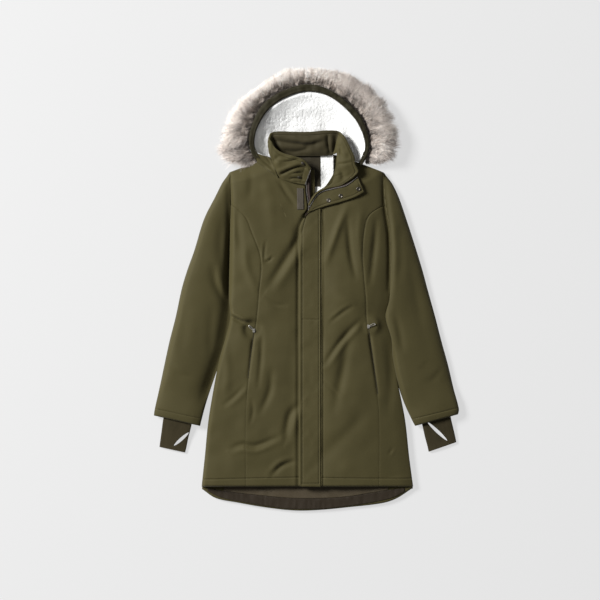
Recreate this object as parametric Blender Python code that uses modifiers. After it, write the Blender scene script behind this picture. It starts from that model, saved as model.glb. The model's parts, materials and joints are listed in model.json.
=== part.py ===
"""A hooded parka with a fur trim, laid out on its back on a flat surface.

+X runs to the wearer's left, +Y to the hood and +Z up from the surface, in metres.
The back lies on the surface, the front panels lie on the back, and the closure on the front.
"left" and "right" in the names are the sides of the laid out coat as seen from above.
"""

import math

import bmesh
import bpy
from mathutils import Vector

# Cloth thicknesses
BACK_WALL = 0.012  # shell, padding and lining of the back
FRONT_WALL = 0.017  # the same at the front, fullest between its seams
NECK_WALL = 0.0120  # the front near the neck
SEAM_WALL = 0.0065  # the padding is pressed flat at a side seam
COLLAR_WALL = 0.0044
FLAP_WALL = 0.003
FACING_WALL = 0.005
TAPE_WALL = 0.0014
SHERPA_WALL = 0.005
HOOD_WALL = 0.005
CUFF_WALL = 0.002

# Clearances
GAP = 0.0004  # between two pieces that lie on each other
HALF_SEAM = 0.0002  # each side of a seam
SLEEVE_GAP = 0.0016  # between a sleeve and the body's side
CLEARANCE = 0.0003  # between two hard pieces, or a patch and its ground
BACK_INSET = 0.0015  # the back's sides stay inside the front's
AIR = 0.0032  # the most air between front and back
NECK_LIFT = 0.0060  # how far the front rises over the neck lining
HEM_LIFT = 0.0022  # how far the front hem rises over the back hem's facing

# Named places along the coat
SHOULDER_Y = 0.294
SEAM_TOP_Y = 0.214  # where the princess seams start, on the armholes
UNDERARM_Y = 0.156
FRONT_HEM_Y = -0.4895
BREAK_Y = 0.190  # the closure is turned back above this
FLAP_LEFT_X = -0.017
FLAP_RIGHT_X = 0.037
CENTRE_X = 0.004  # the front panels end this far from the zip's middle
BLUNT_TIP = 0.0010  # the side panels' tips are this wide
SLEEVE_SLOT = 0.0016  # half the air inside a sleeve
SLEEVE_SLOT_AT_CUFF = 0.0050
SLEEVE_EDGE_WALL = 0.010  # padding at the two folded edges of a sleeve
CUFF_HALF_HEIGHT = 0.0034
ZIP_HALF_WIDTH = 0.0034

# Columns: y, left side, right side
BODY = (
    (-0.4895, -0.260, 0.267),
    (-0.414, -0.252, 0.257),
    (-0.324, -0.243, 0.247),
    (-0.237, -0.2285, 0.230),
    (-0.171, -0.2155, 0.217),
    (-0.120, -0.201, 0.2135),
    (-0.066, -0.189, 0.199),
    (-0.021, -0.192, 0.209),
    (0.094, -0.190, 0.212),
    (0.156, -0.189, 0.209),
    (0.214, -0.1882, 0.1978),
    (0.294, -0.191, 0.194),
)

# Columns: y, x of the princess seam
LEFT_PRINCESS = (
    (-0.4895, -0.150),
    (-0.316, -0.150),
    (-0.218, -0.143),
    (-0.136, -0.133),
    (-0.074, -0.123),
    (-0.007, -0.117),
    (0.076, -0.112),
    (0.150, -0.137),
    (0.185, -0.153),
    (0.214, -0.1882),
)
RIGHT_PRINCESS = (
    (-0.4895, 0.182),
    (-0.324, 0.182),
    (-0.248, 0.1765),
    (-0.175, 0.167),
    (-0.123, 0.159),
    (-0.074, 0.151),
    (-0.022, 0.149),
    (0.035, 0.144),
    (0.093, 0.141),
    (0.165, 0.148),
    (0.192, 0.162),
    (0.214, 0.1978),
)

# Columns: x, y
LEFT_NECK = (
    (-0.191, 0.294), (-0.138, 0.314), (-0.086, 0.328), (-0.064, 0.298),
    (-0.058, 0.280), (-0.018, 0.264), (-0.004, 0.262),
)
RIGHT_NECK = ((0.079, 0.338), (0.132, 0.318), (0.194, 0.294))
ROLL = (
    (0.004, 0.196), (0.010, 0.214), (0.022, 0.237), (0.047, 0.256),
    (0.060, 0.276), (0.071, 0.296), (0.077, 0.326), (0.079, 0.338),
)
BACK_TOP = (
    (-0.191, 0.294), (-0.138, 0.314), (-0.086, 0.330), (-0.045, 0.338), (0.0, 0.340),
    (0.045, 0.340), (0.086, 0.335), (0.138, 0.316), (0.194, 0.294),
)
TAIL = (
    (-0.258, -0.497),
    (-0.227, -0.518),
    (-0.170, -0.530),
    (-0.100, -0.542),
    (-0.030, -0.5495),
    (0.030, -0.5485),
    (0.110, -0.541),
    (0.192, -0.531),
    (0.227, -0.519),
    (0.264, -0.495),
)
# The inner side of the dropped hem. Columns: x, lower and upper y of its facing
TAIL_INSIDE = (
    (-0.246, -0.5005, -0.4930),
    (-0.215, -0.5160, -0.4985),
    (-0.160, -0.5275, -0.5065),
    (-0.110, -0.5365, -0.5120),
    (-0.040, -0.5450, -0.5185),
    (0.040, -0.5445, -0.5190),
    (0.110, -0.5370, -0.5140),
    (0.165, -0.5290, -0.5045),
    (0.215, -0.5175, -0.4965),
    (0.246, -0.5020, -0.4925),
)
TAIL_HALF_WIDTH = 0.246
TAIL_COLUMNS = 24
LINING_TOP_Y = -0.478

# Columns: x, y
ZIP_LINE = (
    (0.009, 0.207), (0.018, 0.223), (0.028, 0.237), (0.042, 0.246),
    (0.071, 0.2535), (0.100, 0.261), (0.1285, 0.282),
)
# The turned back flap. Columns: x, y of its free edge, x, y beside the zip
TURNED_FLAP = (
    (0.0000, 0.1900, 0.0100, 0.2040),
    (0.0160, 0.1970, 0.0190, 0.2205),
    (0.0350, 0.2040, 0.0300, 0.2350),
    (0.0540, 0.2100, 0.0440, 0.2438),
    (0.0800, 0.2170, 0.0725, 0.2513),
    (0.1220, 0.2310, 0.1020, 0.2588),
    (0.1460, 0.2440, 0.1305, 0.2800),
)
# The turned back facing. Columns: x, y of the roll, x, y beside the zip
FACING = (
    (0.0062, 0.2118, 0.0082, 0.2098),
    (0.0110, 0.2225, 0.0158, 0.2240),
    (0.0205, 0.2365, 0.0255, 0.2388),
    (0.0320, 0.2465, 0.0395, 0.2478),
    (0.0470, 0.2570, 0.0610, 0.2545),
    (0.0600, 0.2760, 0.0900, 0.2615),
    (0.0690, 0.2865, 0.1265, 0.2845),
)

# Sleeves from armhole to cuff. Columns: outer x, outer y, inner x, inner y, bow, height
LEFT_SLEEVE = (
    (-0.1945, 0.2905, -0.1905, 0.1500, 0.0045, 0.0265),
    (-0.2255, 0.2360, -0.1925, 0.1150, 0.0010, 0.0290),
    (-0.2545, 0.1780, -0.1935, 0.0820, 0.0000, 0.0310),
    (-0.2790, 0.0990, -0.1940, 0.0450, 0.0000, 0.0320),
    (-0.2965, 0.0500, -0.1945, 0.0040, 0.0000, 0.0320),
    (-0.3105, 0.0030, -0.1955, -0.0420, 0.0000, 0.0315),
    (-0.3250, -0.0650, -0.2020, -0.0940, 0.0000, 0.0310),
    (-0.3405, -0.1260, -0.2145, -0.1540, 0.0000, 0.0305),
    (-0.3540, -0.1880, -0.2290, -0.2150, 0.0000, 0.0300),
    (-0.3670, -0.2500, -0.2480, -0.2770, 0.0000, 0.0295),
    (-0.3780, -0.3000, -0.2610, -0.3250, 0.0000, 0.0285),
    (-0.3795, -0.3120, -0.2640, -0.3380, 0.0000, 0.0260),
)
RIGHT_SLEEVE = (
    (0.1980, 0.2905, 0.2115, 0.1500, -0.0075, 0.0265),
    (0.2285, 0.2400, 0.2145, 0.1180, -0.0010, 0.0290),
    (0.2525, 0.1720, 0.2145, 0.0850, 0.0000, 0.0310),
    (0.2725, 0.1100, 0.2140, 0.0470, 0.0000, 0.0320),
    (0.2905, 0.0510, 0.2130, 0.0050, 0.0000, 0.0320),
    (0.3045, -0.0010, 0.2105, -0.0420, 0.0000, 0.0315),
    (0.3220, -0.0640, 0.2115, -0.0940, 0.0000, 0.0310),
    (0.3380, -0.1260, 0.2210, -0.1540, 0.0000, 0.0305),
    (0.3550, -0.1880, 0.2320, -0.2150, 0.0000, 0.0300),
    (0.3690, -0.2480, 0.2440, -0.2750, 0.0000, 0.0295),
    (0.3815, -0.2960, 0.2650, -0.3250, 0.0000, 0.0285),
    (0.3795, -0.3090, 0.2720, -0.3380, 0.0000, 0.0260),
)

# Inner cuffs from inside the sleeve to the tip.
# Columns: outer x, outer y, inner x, inner y, height of centre
LEFT_CUFF = (
    (-0.3530, -0.3050, -0.2830, -0.3220, 0.0128),
    (-0.3570, -0.3250, -0.2870, -0.3420, 0.0110),
    (-0.3605, -0.3500, -0.2935, -0.3670, 0.0070),
    (-0.3640, -0.3750, -0.2985, -0.3910, 0.0046),
    (-0.3660, -0.3910, -0.3020, -0.4050, 0.0040),
)
RIGHT_CUFF = (
    (0.3590, -0.3010, 0.2860, -0.3200, 0.0128),
    (0.3620, -0.3200, 0.2910, -0.3400, 0.0110),
    (0.3680, -0.3450, 0.2965, -0.3640, 0.0070),
    (0.3730, -0.3660, 0.3030, -0.3880, 0.0046),
    (0.3755, -0.3790, 0.3065, -0.4030, 0.0040),
)
# Thumb openings. Columns: x, y of one tip, x, y of the other
LEFT_THUMB = (-0.2925, -0.3545, -0.3300, -0.3880)
RIGHT_THUMB = (0.3035, -0.3290, 0.3530, -0.3755)
THUMB_WIDTH = 0.008

# Collar from the left zip to the right one. Columns: base x, y, z, top edge x, y, z
COLLAR = (
    (-0.001, 0.266, 0.0295, 0.0130, 0.303, 0.0435),
    (-0.020, 0.269, 0.0295, -0.0060, 0.324, 0.0485),
    (-0.039, 0.279, 0.0300, -0.0300, 0.333, 0.0505),
    (-0.051, 0.291, 0.0305, -0.0580, 0.341, 0.0505),
    (-0.060, 0.304, 0.0305, -0.0760, 0.353, 0.0495),
    (-0.072, 0.32, 0.0300, -0.0840, 0.367, 0.0475),
    (-0.082, 0.33, 0.0270, -0.0900, 0.377, 0.0445),
    (-0.085, 0.337, 0.0225, -0.0910, 0.386, 0.0400),
    (-0.080, 0.342, 0.0185, -0.0860, 0.392, 0.0360),
    (-0.062, 0.344, 0.0175, -0.0660, 0.395, 0.0345),
    (-0.030, 0.344, 0.0173, -0.0300, 0.394, 0.0355),
    (0.010, 0.344, 0.0175, 0.0120, 0.394, 0.0370),
    (0.045, 0.345, 0.0185, 0.0520, 0.397, 0.0390),
    (0.068, 0.347, 0.0245, 0.0820, 0.394, 0.0425),
    (0.077, 0.342, 0.0325, 0.0980, 0.378, 0.0450),
    (0.077, 0.33, 0.0365, 0.1110, 0.352, 0.0455),
    (0.075, 0.315, 0.0380, 0.1200, 0.333, 0.0440),
    (0.072, 0.3, 0.0390, 0.1225, 0.314, 0.0430),
    (0.068, 0.29, 0.0395, 0.1295, 0.293, 0.0415),
)

# Hood opening from the lower left end to the lower right one.
# Columns: outer x, outer y, inner x, inner y, underside z
RIM = (
    (-0.110, 0.310, -0.100, 0.318, 0.0300),
    (-0.128, 0.328, -0.117, 0.337, 0.0305),
    (-0.139, 0.350, -0.126, 0.354, 0.0310),
    (-0.142, 0.372, -0.128, 0.371, 0.0350),
    (-0.136, 0.406, -0.122, 0.400, 0.0400),
    (-0.112, 0.455, -0.098, 0.442, 0.0440),
    (-0.076, 0.485, -0.064, 0.471, 0.0450),
    (-0.034, 0.504, -0.028, 0.487, 0.0450),
    (0.004, 0.511, 0.006, 0.493, 0.0450),
    (0.045, 0.503, 0.042, 0.487, 0.0450),
    (0.090, 0.477, 0.080, 0.466, 0.0450),
    (0.134, 0.433, 0.121, 0.425, 0.0440),
    (0.153, 0.390, 0.141, 0.387, 0.0400),
    (0.158, 0.358, 0.146, 0.358, 0.0350),
    (0.149, 0.328, 0.138, 0.332, 0.0305),
    (0.137, 0.308, 0.129, 0.313, 0.0275),
)
RIM_HEIGHT = 0.012
HOOD_FROM, HOOD_TO = 0.085, 0.955  # the part of the rim that the hood's panels hang from
HOOD_CORE = (
    (-0.0905, 0.3365), (-0.060, 0.348), (0.0, 0.350), (0.060, 0.351), (0.096, 0.347), (0.118, 0.3325),
)

# Fur from the lower left end to the lower right one. Columns: inner x, y, outer x, y, height
FUR = (
    (-0.132, 0.318, -0.172, 0.306, 0.026),
    (-0.144, 0.345, -0.205, 0.325, 0.044),
    (-0.1465, 0.372, -0.214, 0.354, 0.054),
    (-0.141, 0.408, -0.200, 0.411, 0.060),
    (-0.117, 0.457, -0.155, 0.474, 0.060),
    (-0.079, 0.489, -0.104, 0.513, 0.058),
    (-0.036, 0.508, -0.048, 0.546, 0.056),
    (0.005, 0.5155, 0.008, 0.5495, 0.056),
    (0.048, 0.507, 0.064, 0.545, 0.056),
    (0.093, 0.481, 0.120, 0.527, 0.058),
    (0.138, 0.437, 0.185, 0.476, 0.060),
    (0.1575, 0.391, 0.226, 0.402, 0.060),
    (0.1625, 0.358, 0.228, 0.366, 0.056),
    (0.154, 0.329, 0.206, 0.327, 0.040),
    (0.150, 0.319, 0.176, 0.316, 0.024),
)

# Largest folds of the front. Columns: x, y of one end, x, y of the other, half width, rise
FOLDS = (
    (0.105, 0.170, 0.118, 0.040, 0.014, -0.0018),
    (0.170, 0.160, 0.162, 0.025, 0.012, -0.0015),
    (0.095, 0.210, 0.047, 0.070, 0.016, 0.0016),
    (-0.030, 0.110, -0.090, 0.014, 0.018, -0.0016),
    (-0.085, -0.200, -0.113, -0.304, 0.018, -0.0016),
    (0.107, -0.170, 0.078, -0.310, 0.018, -0.0016),
    (-0.154, -0.236, -0.205, -0.286, 0.014, -0.0012),
)

# Pocket zips. Columns: name, x, y of the top, x, y of the bottom, direction of the pull tab in degrees
POCKETS = (
    ("left", -0.1285, -0.094, -0.1445, -0.218, 137),
    ("right", 0.1545, -0.084, 0.1790, -0.258, 22),
)
POCKET_ZIP_WIDTH = 0.0055
POCKET_ZIP_STEP = 0.010
SLIDER_SETBACK = 0.006  # from the top of the zip to the slider's centre
SLIDER_REACH = 0.006  # the slider clears the cloth this far around it
SLIDER_SIZE = (0.0065, 0.0100, 0.0024)
PULL_SIZE = (0.0185, 0.0052, 0.0016)

# Left edge of the storm flap from the hem to where it turns back. Columns: x, y
FLAP_HEM_Y = FRONT_HEM_Y + 0.001
FLAP_TOP_Y = 0.205
FLAP_EDGE = ((FLAP_LEFT_X, FLAP_HEM_Y), (FLAP_LEFT_X, 0.120), (-0.015, 0.156), (-0.003, 0.184))

# Zip: half of the right row's band as x, y, then the left row and the closed chain
ZIP_HALF_BAND = (0.0009, 0.0018)
ZIP_RIGHT_HEIGHT = 0.0042
ZIP_LEFT = (-0.0036, 0.0006, 0.2035, 0.2615)  # left, right, bottom, top
ZIP_LEFT_HEIGHTS = (0.0040, 0.0085)  # over the lining
CHAIN_Y = (FRONT_HEM_Y + 0.003, FRONT_HEM_Y + 0.679)
CHAIN_HEIGHTS = (0.003, 0.007)  # over the lining

# Columns: near x, y, z, far x, y, z
WIND_GUARD = (
    (0.0030, 0.212, 0.0225, 0.0070, 0.2145, 0.0225),
    (0.0030, 0.238, 0.0225, 0.0180, 0.240, 0.0225),
    (0.0030, 0.268, 0.0225, 0.0210, 0.270, 0.0225),
    (0.0030, 0.298, 0.0225, 0.0210, 0.299, 0.0225),
)

# Rectangles as left, right, bottom, top
CHEST_TAB = (-0.0220, -0.0055, 0.201, 0.254)
NECK_LINING = (-0.040, 0.070, 0.232, 0.337)
NECK_PATCH = (-0.038, 0.037, 0.260, 0.3365)
PATCH_WALL = 0.0010

# Corner of the hood's throat, from the shoulder up. Columns: x, y
THROAT_LEFT = ((-0.096, 0.3115), (-0.1115, 0.334))
THROAT_RIGHT = ((-0.0605, 0.2835), (-0.0655, 0.298), (-0.088, 0.3270))
THROAT_Z = 0.0305
THROAT_WALL = 0.0035

# Columns: name, share of the way up the collar
COLLAR_STUDS = (("collar_stud_lower", 0.21), ("collar_stud_upper", 0.84))
STUD_SIZE = (0.0036, 0.0030, 0.0016)  # radius at the base, at the top, height
STUD_LIFT = 0.0018

# Columns: x, y
FLAP_SNAPS = ((0.130, 0.252), (0.086, 0.2345), (0.056, 0.2235))
SNAP_RADIUS = 0.0052
SNAP_HEIGHT = 0.0016

# Colours, roughness and metallic value of each material
OLIVE = ((0.068, 0.058, 0.030), 0.75, 0.0)
DARK_OLIVE = ((0.048, 0.039, 0.020), 0.75, 0.0)
BROWN_LINING = ((0.026, 0.019, 0.010), 0.6, 0.0)
GREEN_LINING = ((0.052, 0.044, 0.024), 0.6, 0.0)
SHERPA = ((0.90, 0.89, 0.86), 0.95, 0.0)
FUR_TAUPE = ((0.42, 0.37, 0.33), 0.95, 0.0)
GREY_TAB = ((0.14, 0.125, 0.10), 0.7, 0.0)
SILVER = ((0.55, 0.54, 0.52), 0.35, 1.0)
DARK_METAL = ((0.12, 0.11, 0.10), 0.4, 1.0)


# Curves and blends


def between(keys, rows, t, smooth):
    """The row at key t, on straight lines or on a smooth curve through the rows."""
    t = min(max(t, keys[0]), keys[-1])
    i = max(k for k in range(len(keys) - 1) if keys[k] <= t)
    j = i + 1
    span = keys[j] - keys[i]
    f = (t - keys[i]) / span
    if not smooth:
        return tuple(a + (b - a) * f for a, b in zip(rows[i], rows[j]))
    before = max(i - 1, 0)
    after = min(j + 1, len(keys) - 1)
    found = []
    for a0, a, b, b1 in zip(rows[before], rows[i], rows[j], rows[after]):
        slope_a = (b - a0) / (keys[j] - keys[before]) * span
        slope_b = (b1 - a) / (keys[after] - keys[i]) * span
        found.append(
            (1 + 2 * f) * (1 - f) ** 2 * a
            + f * (1 - f) ** 2 * slope_a
            + f * f * (3 - 2 * f) * b
            + f * f * (f - 1) * slope_b
        )
    return tuple(found)


def route(rows, smooth=True):
    """A function of t from 0 to 1 that follows the rows by their distance apart."""
    keys = [0.0]
    for a, b in zip(rows, rows[1:]):
        keys.append(keys[-1] + math.dist(a, b))
    keys = [key / keys[-1] for key in keys]
    return lambda t: between(keys, rows, t, smooth)


def table(rows):
    """A function that gives a table's other columns at a value of its first one."""
    keys = [row[0] for row in rows]
    values = [row[1:] for row in rows]
    return lambda key: between(keys, values, key, True)


def ease(value):
    """0 below 0, 1 above 1 and smooth between them."""
    value = min(max(value, 0.0), 1.0)
    return value * value * (3 - 2 * value)


def patch(left, right, bottom, top):
    """A plan point for u across and v up, from the four edges of a panel."""
    corners = (left(0), right(0), left(1), right(1))

    def at(u, v):
        weights = ((1 - u) * (1 - v), u * (1 - v), (1 - u) * v, u * v)
        edges = zip(left(v), right(v), bottom(u), top(u), zip(*corners))
        return tuple(
            (1 - u) * a + u * b + (1 - v) * c + v * d - sum(w * e for w, e in zip(weights, ends))
            for a, b, c, d, ends in edges
        )

    return at


def paired(rows):
    """A plan point for u along rows of two points and v from the first to the second."""
    at = route(rows)

    def found(u, v):
        near_x, near_y, far_x, far_y = at(u)
        return near_x + (far_x - near_x) * v, near_y + (far_y - near_y) * v

    return found


def joined(first, second, share):
    """One edge from two: the first up to this share of the way, then the second."""

    def at(t):
        if t <= share:
            return first(t / share)
        return second((t - share) / (1 - share))

    return at


def sides_at(y):
    return table(BODY)(y)


def seam(rows, shift):
    """A seam given by y and x as an edge from bottom to top, moved sideways."""
    at = table(rows)
    low, high = rows[0][0], rows[-1][0]
    return lambda t: (at(low + (high - low) * t)[0] + shift, low + (high - low) * t)


def side(column, low, high, shift):
    """A stretch of the body's side as an edge, moved sideways."""
    return lambda t: (sides_at(low + (high - low) * t)[column] + shift, low + (high - low) * t)


def line(a, b):
    """A straight edge between two plan points."""
    return route((a, b), False)


def rectangle(x0, x1, y0, y1):
    """The outline of an upright rectangular panel."""
    return lambda u, v: (x0 + (x1 - x0) * u, y0 + (y1 - y0) * v)


# Heights over the surface


def across(x, y):
    """0 at the sides of the body, 1 in the middle."""
    low, high = sides_at(min(max(y, FRONT_HEM_Y), SHOULDER_Y))
    share = (x - low) / (high - low)
    return 1 - (2 * min(max(share, 0.0), 1.0) - 1) ** 2


def shoulder_distance(x, y):
    """How far a point lies below the shoulder seam."""
    slope = (0.330 - SHOULDER_Y) / (0.191 - 0.086)
    return SHOULDER_Y + slope * (0.191 - abs(x)) - y


def fullness(x, y):
    """0 where the padding is pressed flat in a seam, 1 where it is full."""
    crown = across(x, y)
    at_side = 0.65 * crown + 0.35 * crown**0.35
    open_side = ease((y - UNDERARM_Y + 0.06) / 0.10)
    at_side += open_side * (max(at_side, 0.75) - at_side)
    at_shoulder = ease(shoulder_distance(x, y) / 0.05 + 0.25)
    return min(at_side, at_shoulder)


def neck_share(x, y):
    """1 beside the open neck, falling to 0 around it."""
    beside = ease((x + 0.090) / 0.06) * ease((0.140 - x) / 0.06)
    return ease((y - 0.130) / 0.10) * beside


def folds(x, y):
    """The rise of the largest folds at a point."""
    rise = 0.0
    for ax, ay, bx, by, half_width, height in FOLDS:
        length_squared = (bx - ax) ** 2 + (by - ay) ** 2
        t = ((x - ax) * (bx - ax) + (y - ay) * (by - ay)) / length_squared
        t = min(max(t, 0.0), 1.0)
        away = math.hypot(x - ax - (bx - ax) * t, y - ay - (by - ay) * t)
        rise += height * math.exp(-((away / half_width) ** 2)) * math.sin(math.pi * (0.15 + 0.7 * t))
    return rise


def front_low(x, y):
    """The lining side of the front."""
    air = AIR * across(x, y) ** 0.5 * fullness(x, y)
    neck = NECK_LIFT * neck_share(x, y) * ease(shoulder_distance(x, y) / 0.04 + 0.3)
    hem = HEM_LIFT * ease((-0.455 - y) / 0.02) * ease(across(x, y) * 4)
    return BACK_WALL + GAP + max(air, hem) + neck


def front_high(x, y):
    """The outer side of the front."""
    neck = neck_share(x, y)
    full = FRONT_WALL * (1 - neck) + NECK_WALL * neck
    wall = SEAM_WALL + (full - SEAM_WALL) * fullness(x, y)
    return front_low(x, y) + wall + folds(x, y)


def level(z):
    """The same height everywhere."""
    return lambda x, y: z


def raised(surface, lift):
    """A surface's height with an even lift."""
    return lambda x, y: surface(x, y) + lift


# Makers


def make_material(name, look):
    colour, roughness, metallic = look
    material = bpy.data.materials.new(name)
    material.use_nodes = True
    shader = material.node_tree.nodes["Principled BSDF"]
    shader.inputs["Base Color"].default_value = (*colour, 1.0)
    shader.inputs["Roughness"].default_value = roughness
    shader.inputs["Metallic"].default_value = metallic
    return material


def add_object(name, bm, look, collection):
    bmesh.ops.recalc_face_normals(bm, faces=bm.faces[:])
    if bm.calc_volume(signed=True) < 0:
        bmesh.ops.reverse_faces(bm, faces=bm.faces[:])
    mesh = bpy.data.meshes.new(name)
    bm.to_mesh(mesh)
    bm.free()
    mesh.shade_smooth()
    mesh.set_sharp_from_angle(angle=math.radians(50))
    mesh.materials.append(make_material(name, look))
    thing = bpy.data.objects.new(name, mesh)
    collection.objects.link(thing)
    return thing


def grid(columns, rows):
    """A grid of unit size, its corner at the origin."""
    bm = bmesh.new()
    bmesh.ops.create_grid(bm, x_segments=columns, y_segments=rows, size=0.5)
    bmesh.ops.translate(bm, verts=bm.verts, vec=(0.5, 0.5, 0.0))
    return bm


def panel(name, outline, low, high, columns, rows, look, collection):
    """A piece with a plan outline, between the heights low(x, y) and high(x, y)."""
    bm = grid(columns, rows)
    for vertex in bm.verts:
        x, y = outline(vertex.co.x, vertex.co.y)
        vertex.co = (x, y, low(x, y))
    grown = bmesh.ops.extrude_face_region(bm, geom=bm.faces[:])
    for vertex in grown["geom"]:
        if isinstance(vertex, bmesh.types.BMVert):
            vertex.co.z = high(vertex.co.x, vertex.co.y)
    return add_object(name, bm, look, collection)


def ribbon(name, rows, wall, length_steps, width_steps, look, collection):
    """A strip of even thickness along rows of two points, one on each edge."""
    at = route(rows)
    bm = grid(length_steps, width_steps)
    for vertex in bm.verts:
        row = at(vertex.co.x)
        near, far = Vector(row[:3]), Vector(row[3:])
        vertex.co = near.lerp(far, vertex.co.y)
    thing = add_object(name, bm, look, collection)
    wall_maker = thing.modifiers.new("wall", "SOLIDIFY")
    wall_maker.thickness = wall
    wall_maker.offset = 0.0
    return thing


def tube(name, outer, inner, around, along, look, collection):
    """A hollow tube, open at both ends, from its outer and inner surfaces."""
    bm = grid(around, along)
    turn = bm.verts.layers.float.new("turn")
    way = bm.verts.layers.float.new("way")
    for vertex in bm.verts:
        vertex[turn], vertex[way] = vertex.co.x, vertex.co.y
        angle = math.tau * vertex.co.x
        vertex.co = (math.cos(angle), math.sin(angle), vertex.co.y)
    bmesh.ops.remove_doubles(bm, verts=bm.verts, dist=0.0001)
    grown = bmesh.ops.extrude_face_region(bm, geom=bm.faces[:])
    new = {part for part in grown["geom"] if isinstance(part, bmesh.types.BMVert)}
    for vertex in bm.verts:
        surface = outer if vertex in new else inner
        vertex.co = surface(vertex[turn], vertex[way])
    return add_object(name, bm, look, collection)


def rounded(value, power):
    return math.copysign(abs(value) ** power, value)


def lens(size, thumb):
    """A cutter in the shape of a lens, from above."""
    ax, ay, bx, by = thumb
    bm = bmesh.new()
    bmesh.ops.create_cone(
        bm, cap_ends=True, segments=16, radius1=0.5, radius2=0.5, depth=0.04
    )
    length = math.hypot(bx - ax, by - ay)
    heading = math.atan2(by - ay, bx - ax)
    for vertex in bm.verts:
        along = vertex.co.x * length
        sideways = rounded(vertex.co.y * 2, 1.3) * size / 2
        vertex.co.x = (ax + bx) / 2 + along * math.cos(heading) - sideways * math.sin(heading)
        vertex.co.y = (ay + by) / 2 + along * math.sin(heading) + sideways * math.cos(heading)
    return bm


# Pieces of the coat


def add_back(parts):
    """The back, flat on the surface, with its dropped hem."""
    left = route([TAIL[0]] + [(row[1] + BACK_INSET, row[0]) for row in BODY], False)
    right = route([TAIL[-1]] + [(row[2] - BACK_INSET, row[0]) for row in BODY], False)
    top_left = (BODY[-1][1] + BACK_INSET, SHOULDER_Y)
    top_right = (BODY[-1][2] - BACK_INSET, SHOULDER_Y)
    top = (top_left, *BACK_TOP[1:-1], top_right)
    outline = patch(left, right, route(TAIL), route(top, False))
    panel("back", outline, level(0.0), level(BACK_WALL), 8, 16, OLIVE, parts)


def add_tail(parts):
    """Where the back's inner side shows below the front hem: lining, then the hem's facing."""
    edges = table(TAIL_INSIDE)
    low = BACK_WALL + GAP
    high = low + TAPE_WALL
    column_width = 2 * TAIL_HALF_WIDTH / TAIL_COLUMNS
    lining_half = TAIL_HALF_WIDTH - 2 * column_width

    def facing(u, v):
        x = TAIL_HALF_WIDTH * (2 * u - 1)
        lower, upper = edges(x)
        return x, lower + (upper - lower) * v

    def lining(u, v):
        x = lining_half * (2 * u - 1)
        lower = edges(x)[1] + 2 * HALF_SEAM
        return x, lower + (LINING_TOP_Y - lower) * v

    panel("back_hem_facing", facing, level(low), level(high), TAIL_COLUMNS, 1, BROWN_LINING, parts)
    panel("back_lining", lining, level(low), level(high), TAIL_COLUMNS - 4, 1, GREEN_LINING, parts)


def add_fronts(parts):
    """Two panels each side, joined by the princess seams."""
    seam_rows, armhole_rows = 17, 3
    share = seam_rows / (seam_rows + armhole_rows)
    low_y = BODY[0][0]
    left_seam = joined(
        seam(LEFT_PRINCESS, HALF_SEAM), side(0, SEAM_TOP_Y, SHOULDER_Y, HALF_SEAM), share
    )
    left_edge = joined(
        line((-CENTRE_X, low_y), (-CENTRE_X, BREAK_Y)), line((-CENTRE_X, BREAK_Y), LEFT_NECK[-1]), share
    )
    left_hem = line((LEFT_PRINCESS[0][1] + HALF_SEAM, low_y), (-CENTRE_X, low_y))
    centre_left = patch(left_seam, left_edge, left_hem, route(LEFT_NECK, False))
    rows = seam_rows + armhole_rows
    panel("front_center_left", centre_left, front_low, front_high, 6, rows, OLIVE, parts)

    right_seam = joined(
        seam(RIGHT_PRINCESS, -HALF_SEAM), side(1, SEAM_TOP_Y, SHOULDER_Y, -HALF_SEAM), share
    )
    right_edge = joined(line((CENTRE_X, low_y), ROLL[0]), route(ROLL), share)
    right_hem = line((CENTRE_X, low_y), (RIGHT_PRINCESS[0][1] - HALF_SEAM, low_y))
    centre_right = patch(right_edge, right_seam, right_hem, route(RIGHT_NECK, False))
    panel("front_center_right", centre_right, front_low, front_high, 6, rows, OLIVE, parts)

    side_left = patch(
        side(0, low_y, SEAM_TOP_Y, 0.0),
        seam(LEFT_PRINCESS, -HALF_SEAM),
        line((BODY[0][1], low_y), (LEFT_PRINCESS[0][1] - HALF_SEAM, low_y)),
        line((LEFT_PRINCESS[-1][1], SEAM_TOP_Y), (LEFT_PRINCESS[-1][1] - HALF_SEAM, SEAM_TOP_Y)),
    )
    side_right = patch(
        seam(RIGHT_PRINCESS, HALF_SEAM),
        side(1, low_y, SEAM_TOP_Y, 0.0),
        line((RIGHT_PRINCESS[0][1] + HALF_SEAM, low_y), (BODY[0][2], low_y)),
        line((RIGHT_PRINCESS[-1][1] + HALF_SEAM, SEAM_TOP_Y), (RIGHT_PRINCESS[-1][1], SEAM_TOP_Y)),
    )
    panel("front_side_left", tipped(side_left), front_low, front_high, 3, seam_rows, OLIVE, parts)
    panel("front_side_right", tipped(side_right), front_low, front_high, 3, seam_rows, OLIVE, parts)


def tipped(outline):
    """Keeps a panel that runs out to a point a little blunt."""

    def at(u, v):
        x, y = outline(u, v)
        spread = BLUNT_TIP * ease((v - 0.95) * 20)
        away = -1 if x < 0 else 1
        return x + away * spread * ((1 - u) if x < 0 else u), y

    return at


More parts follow.
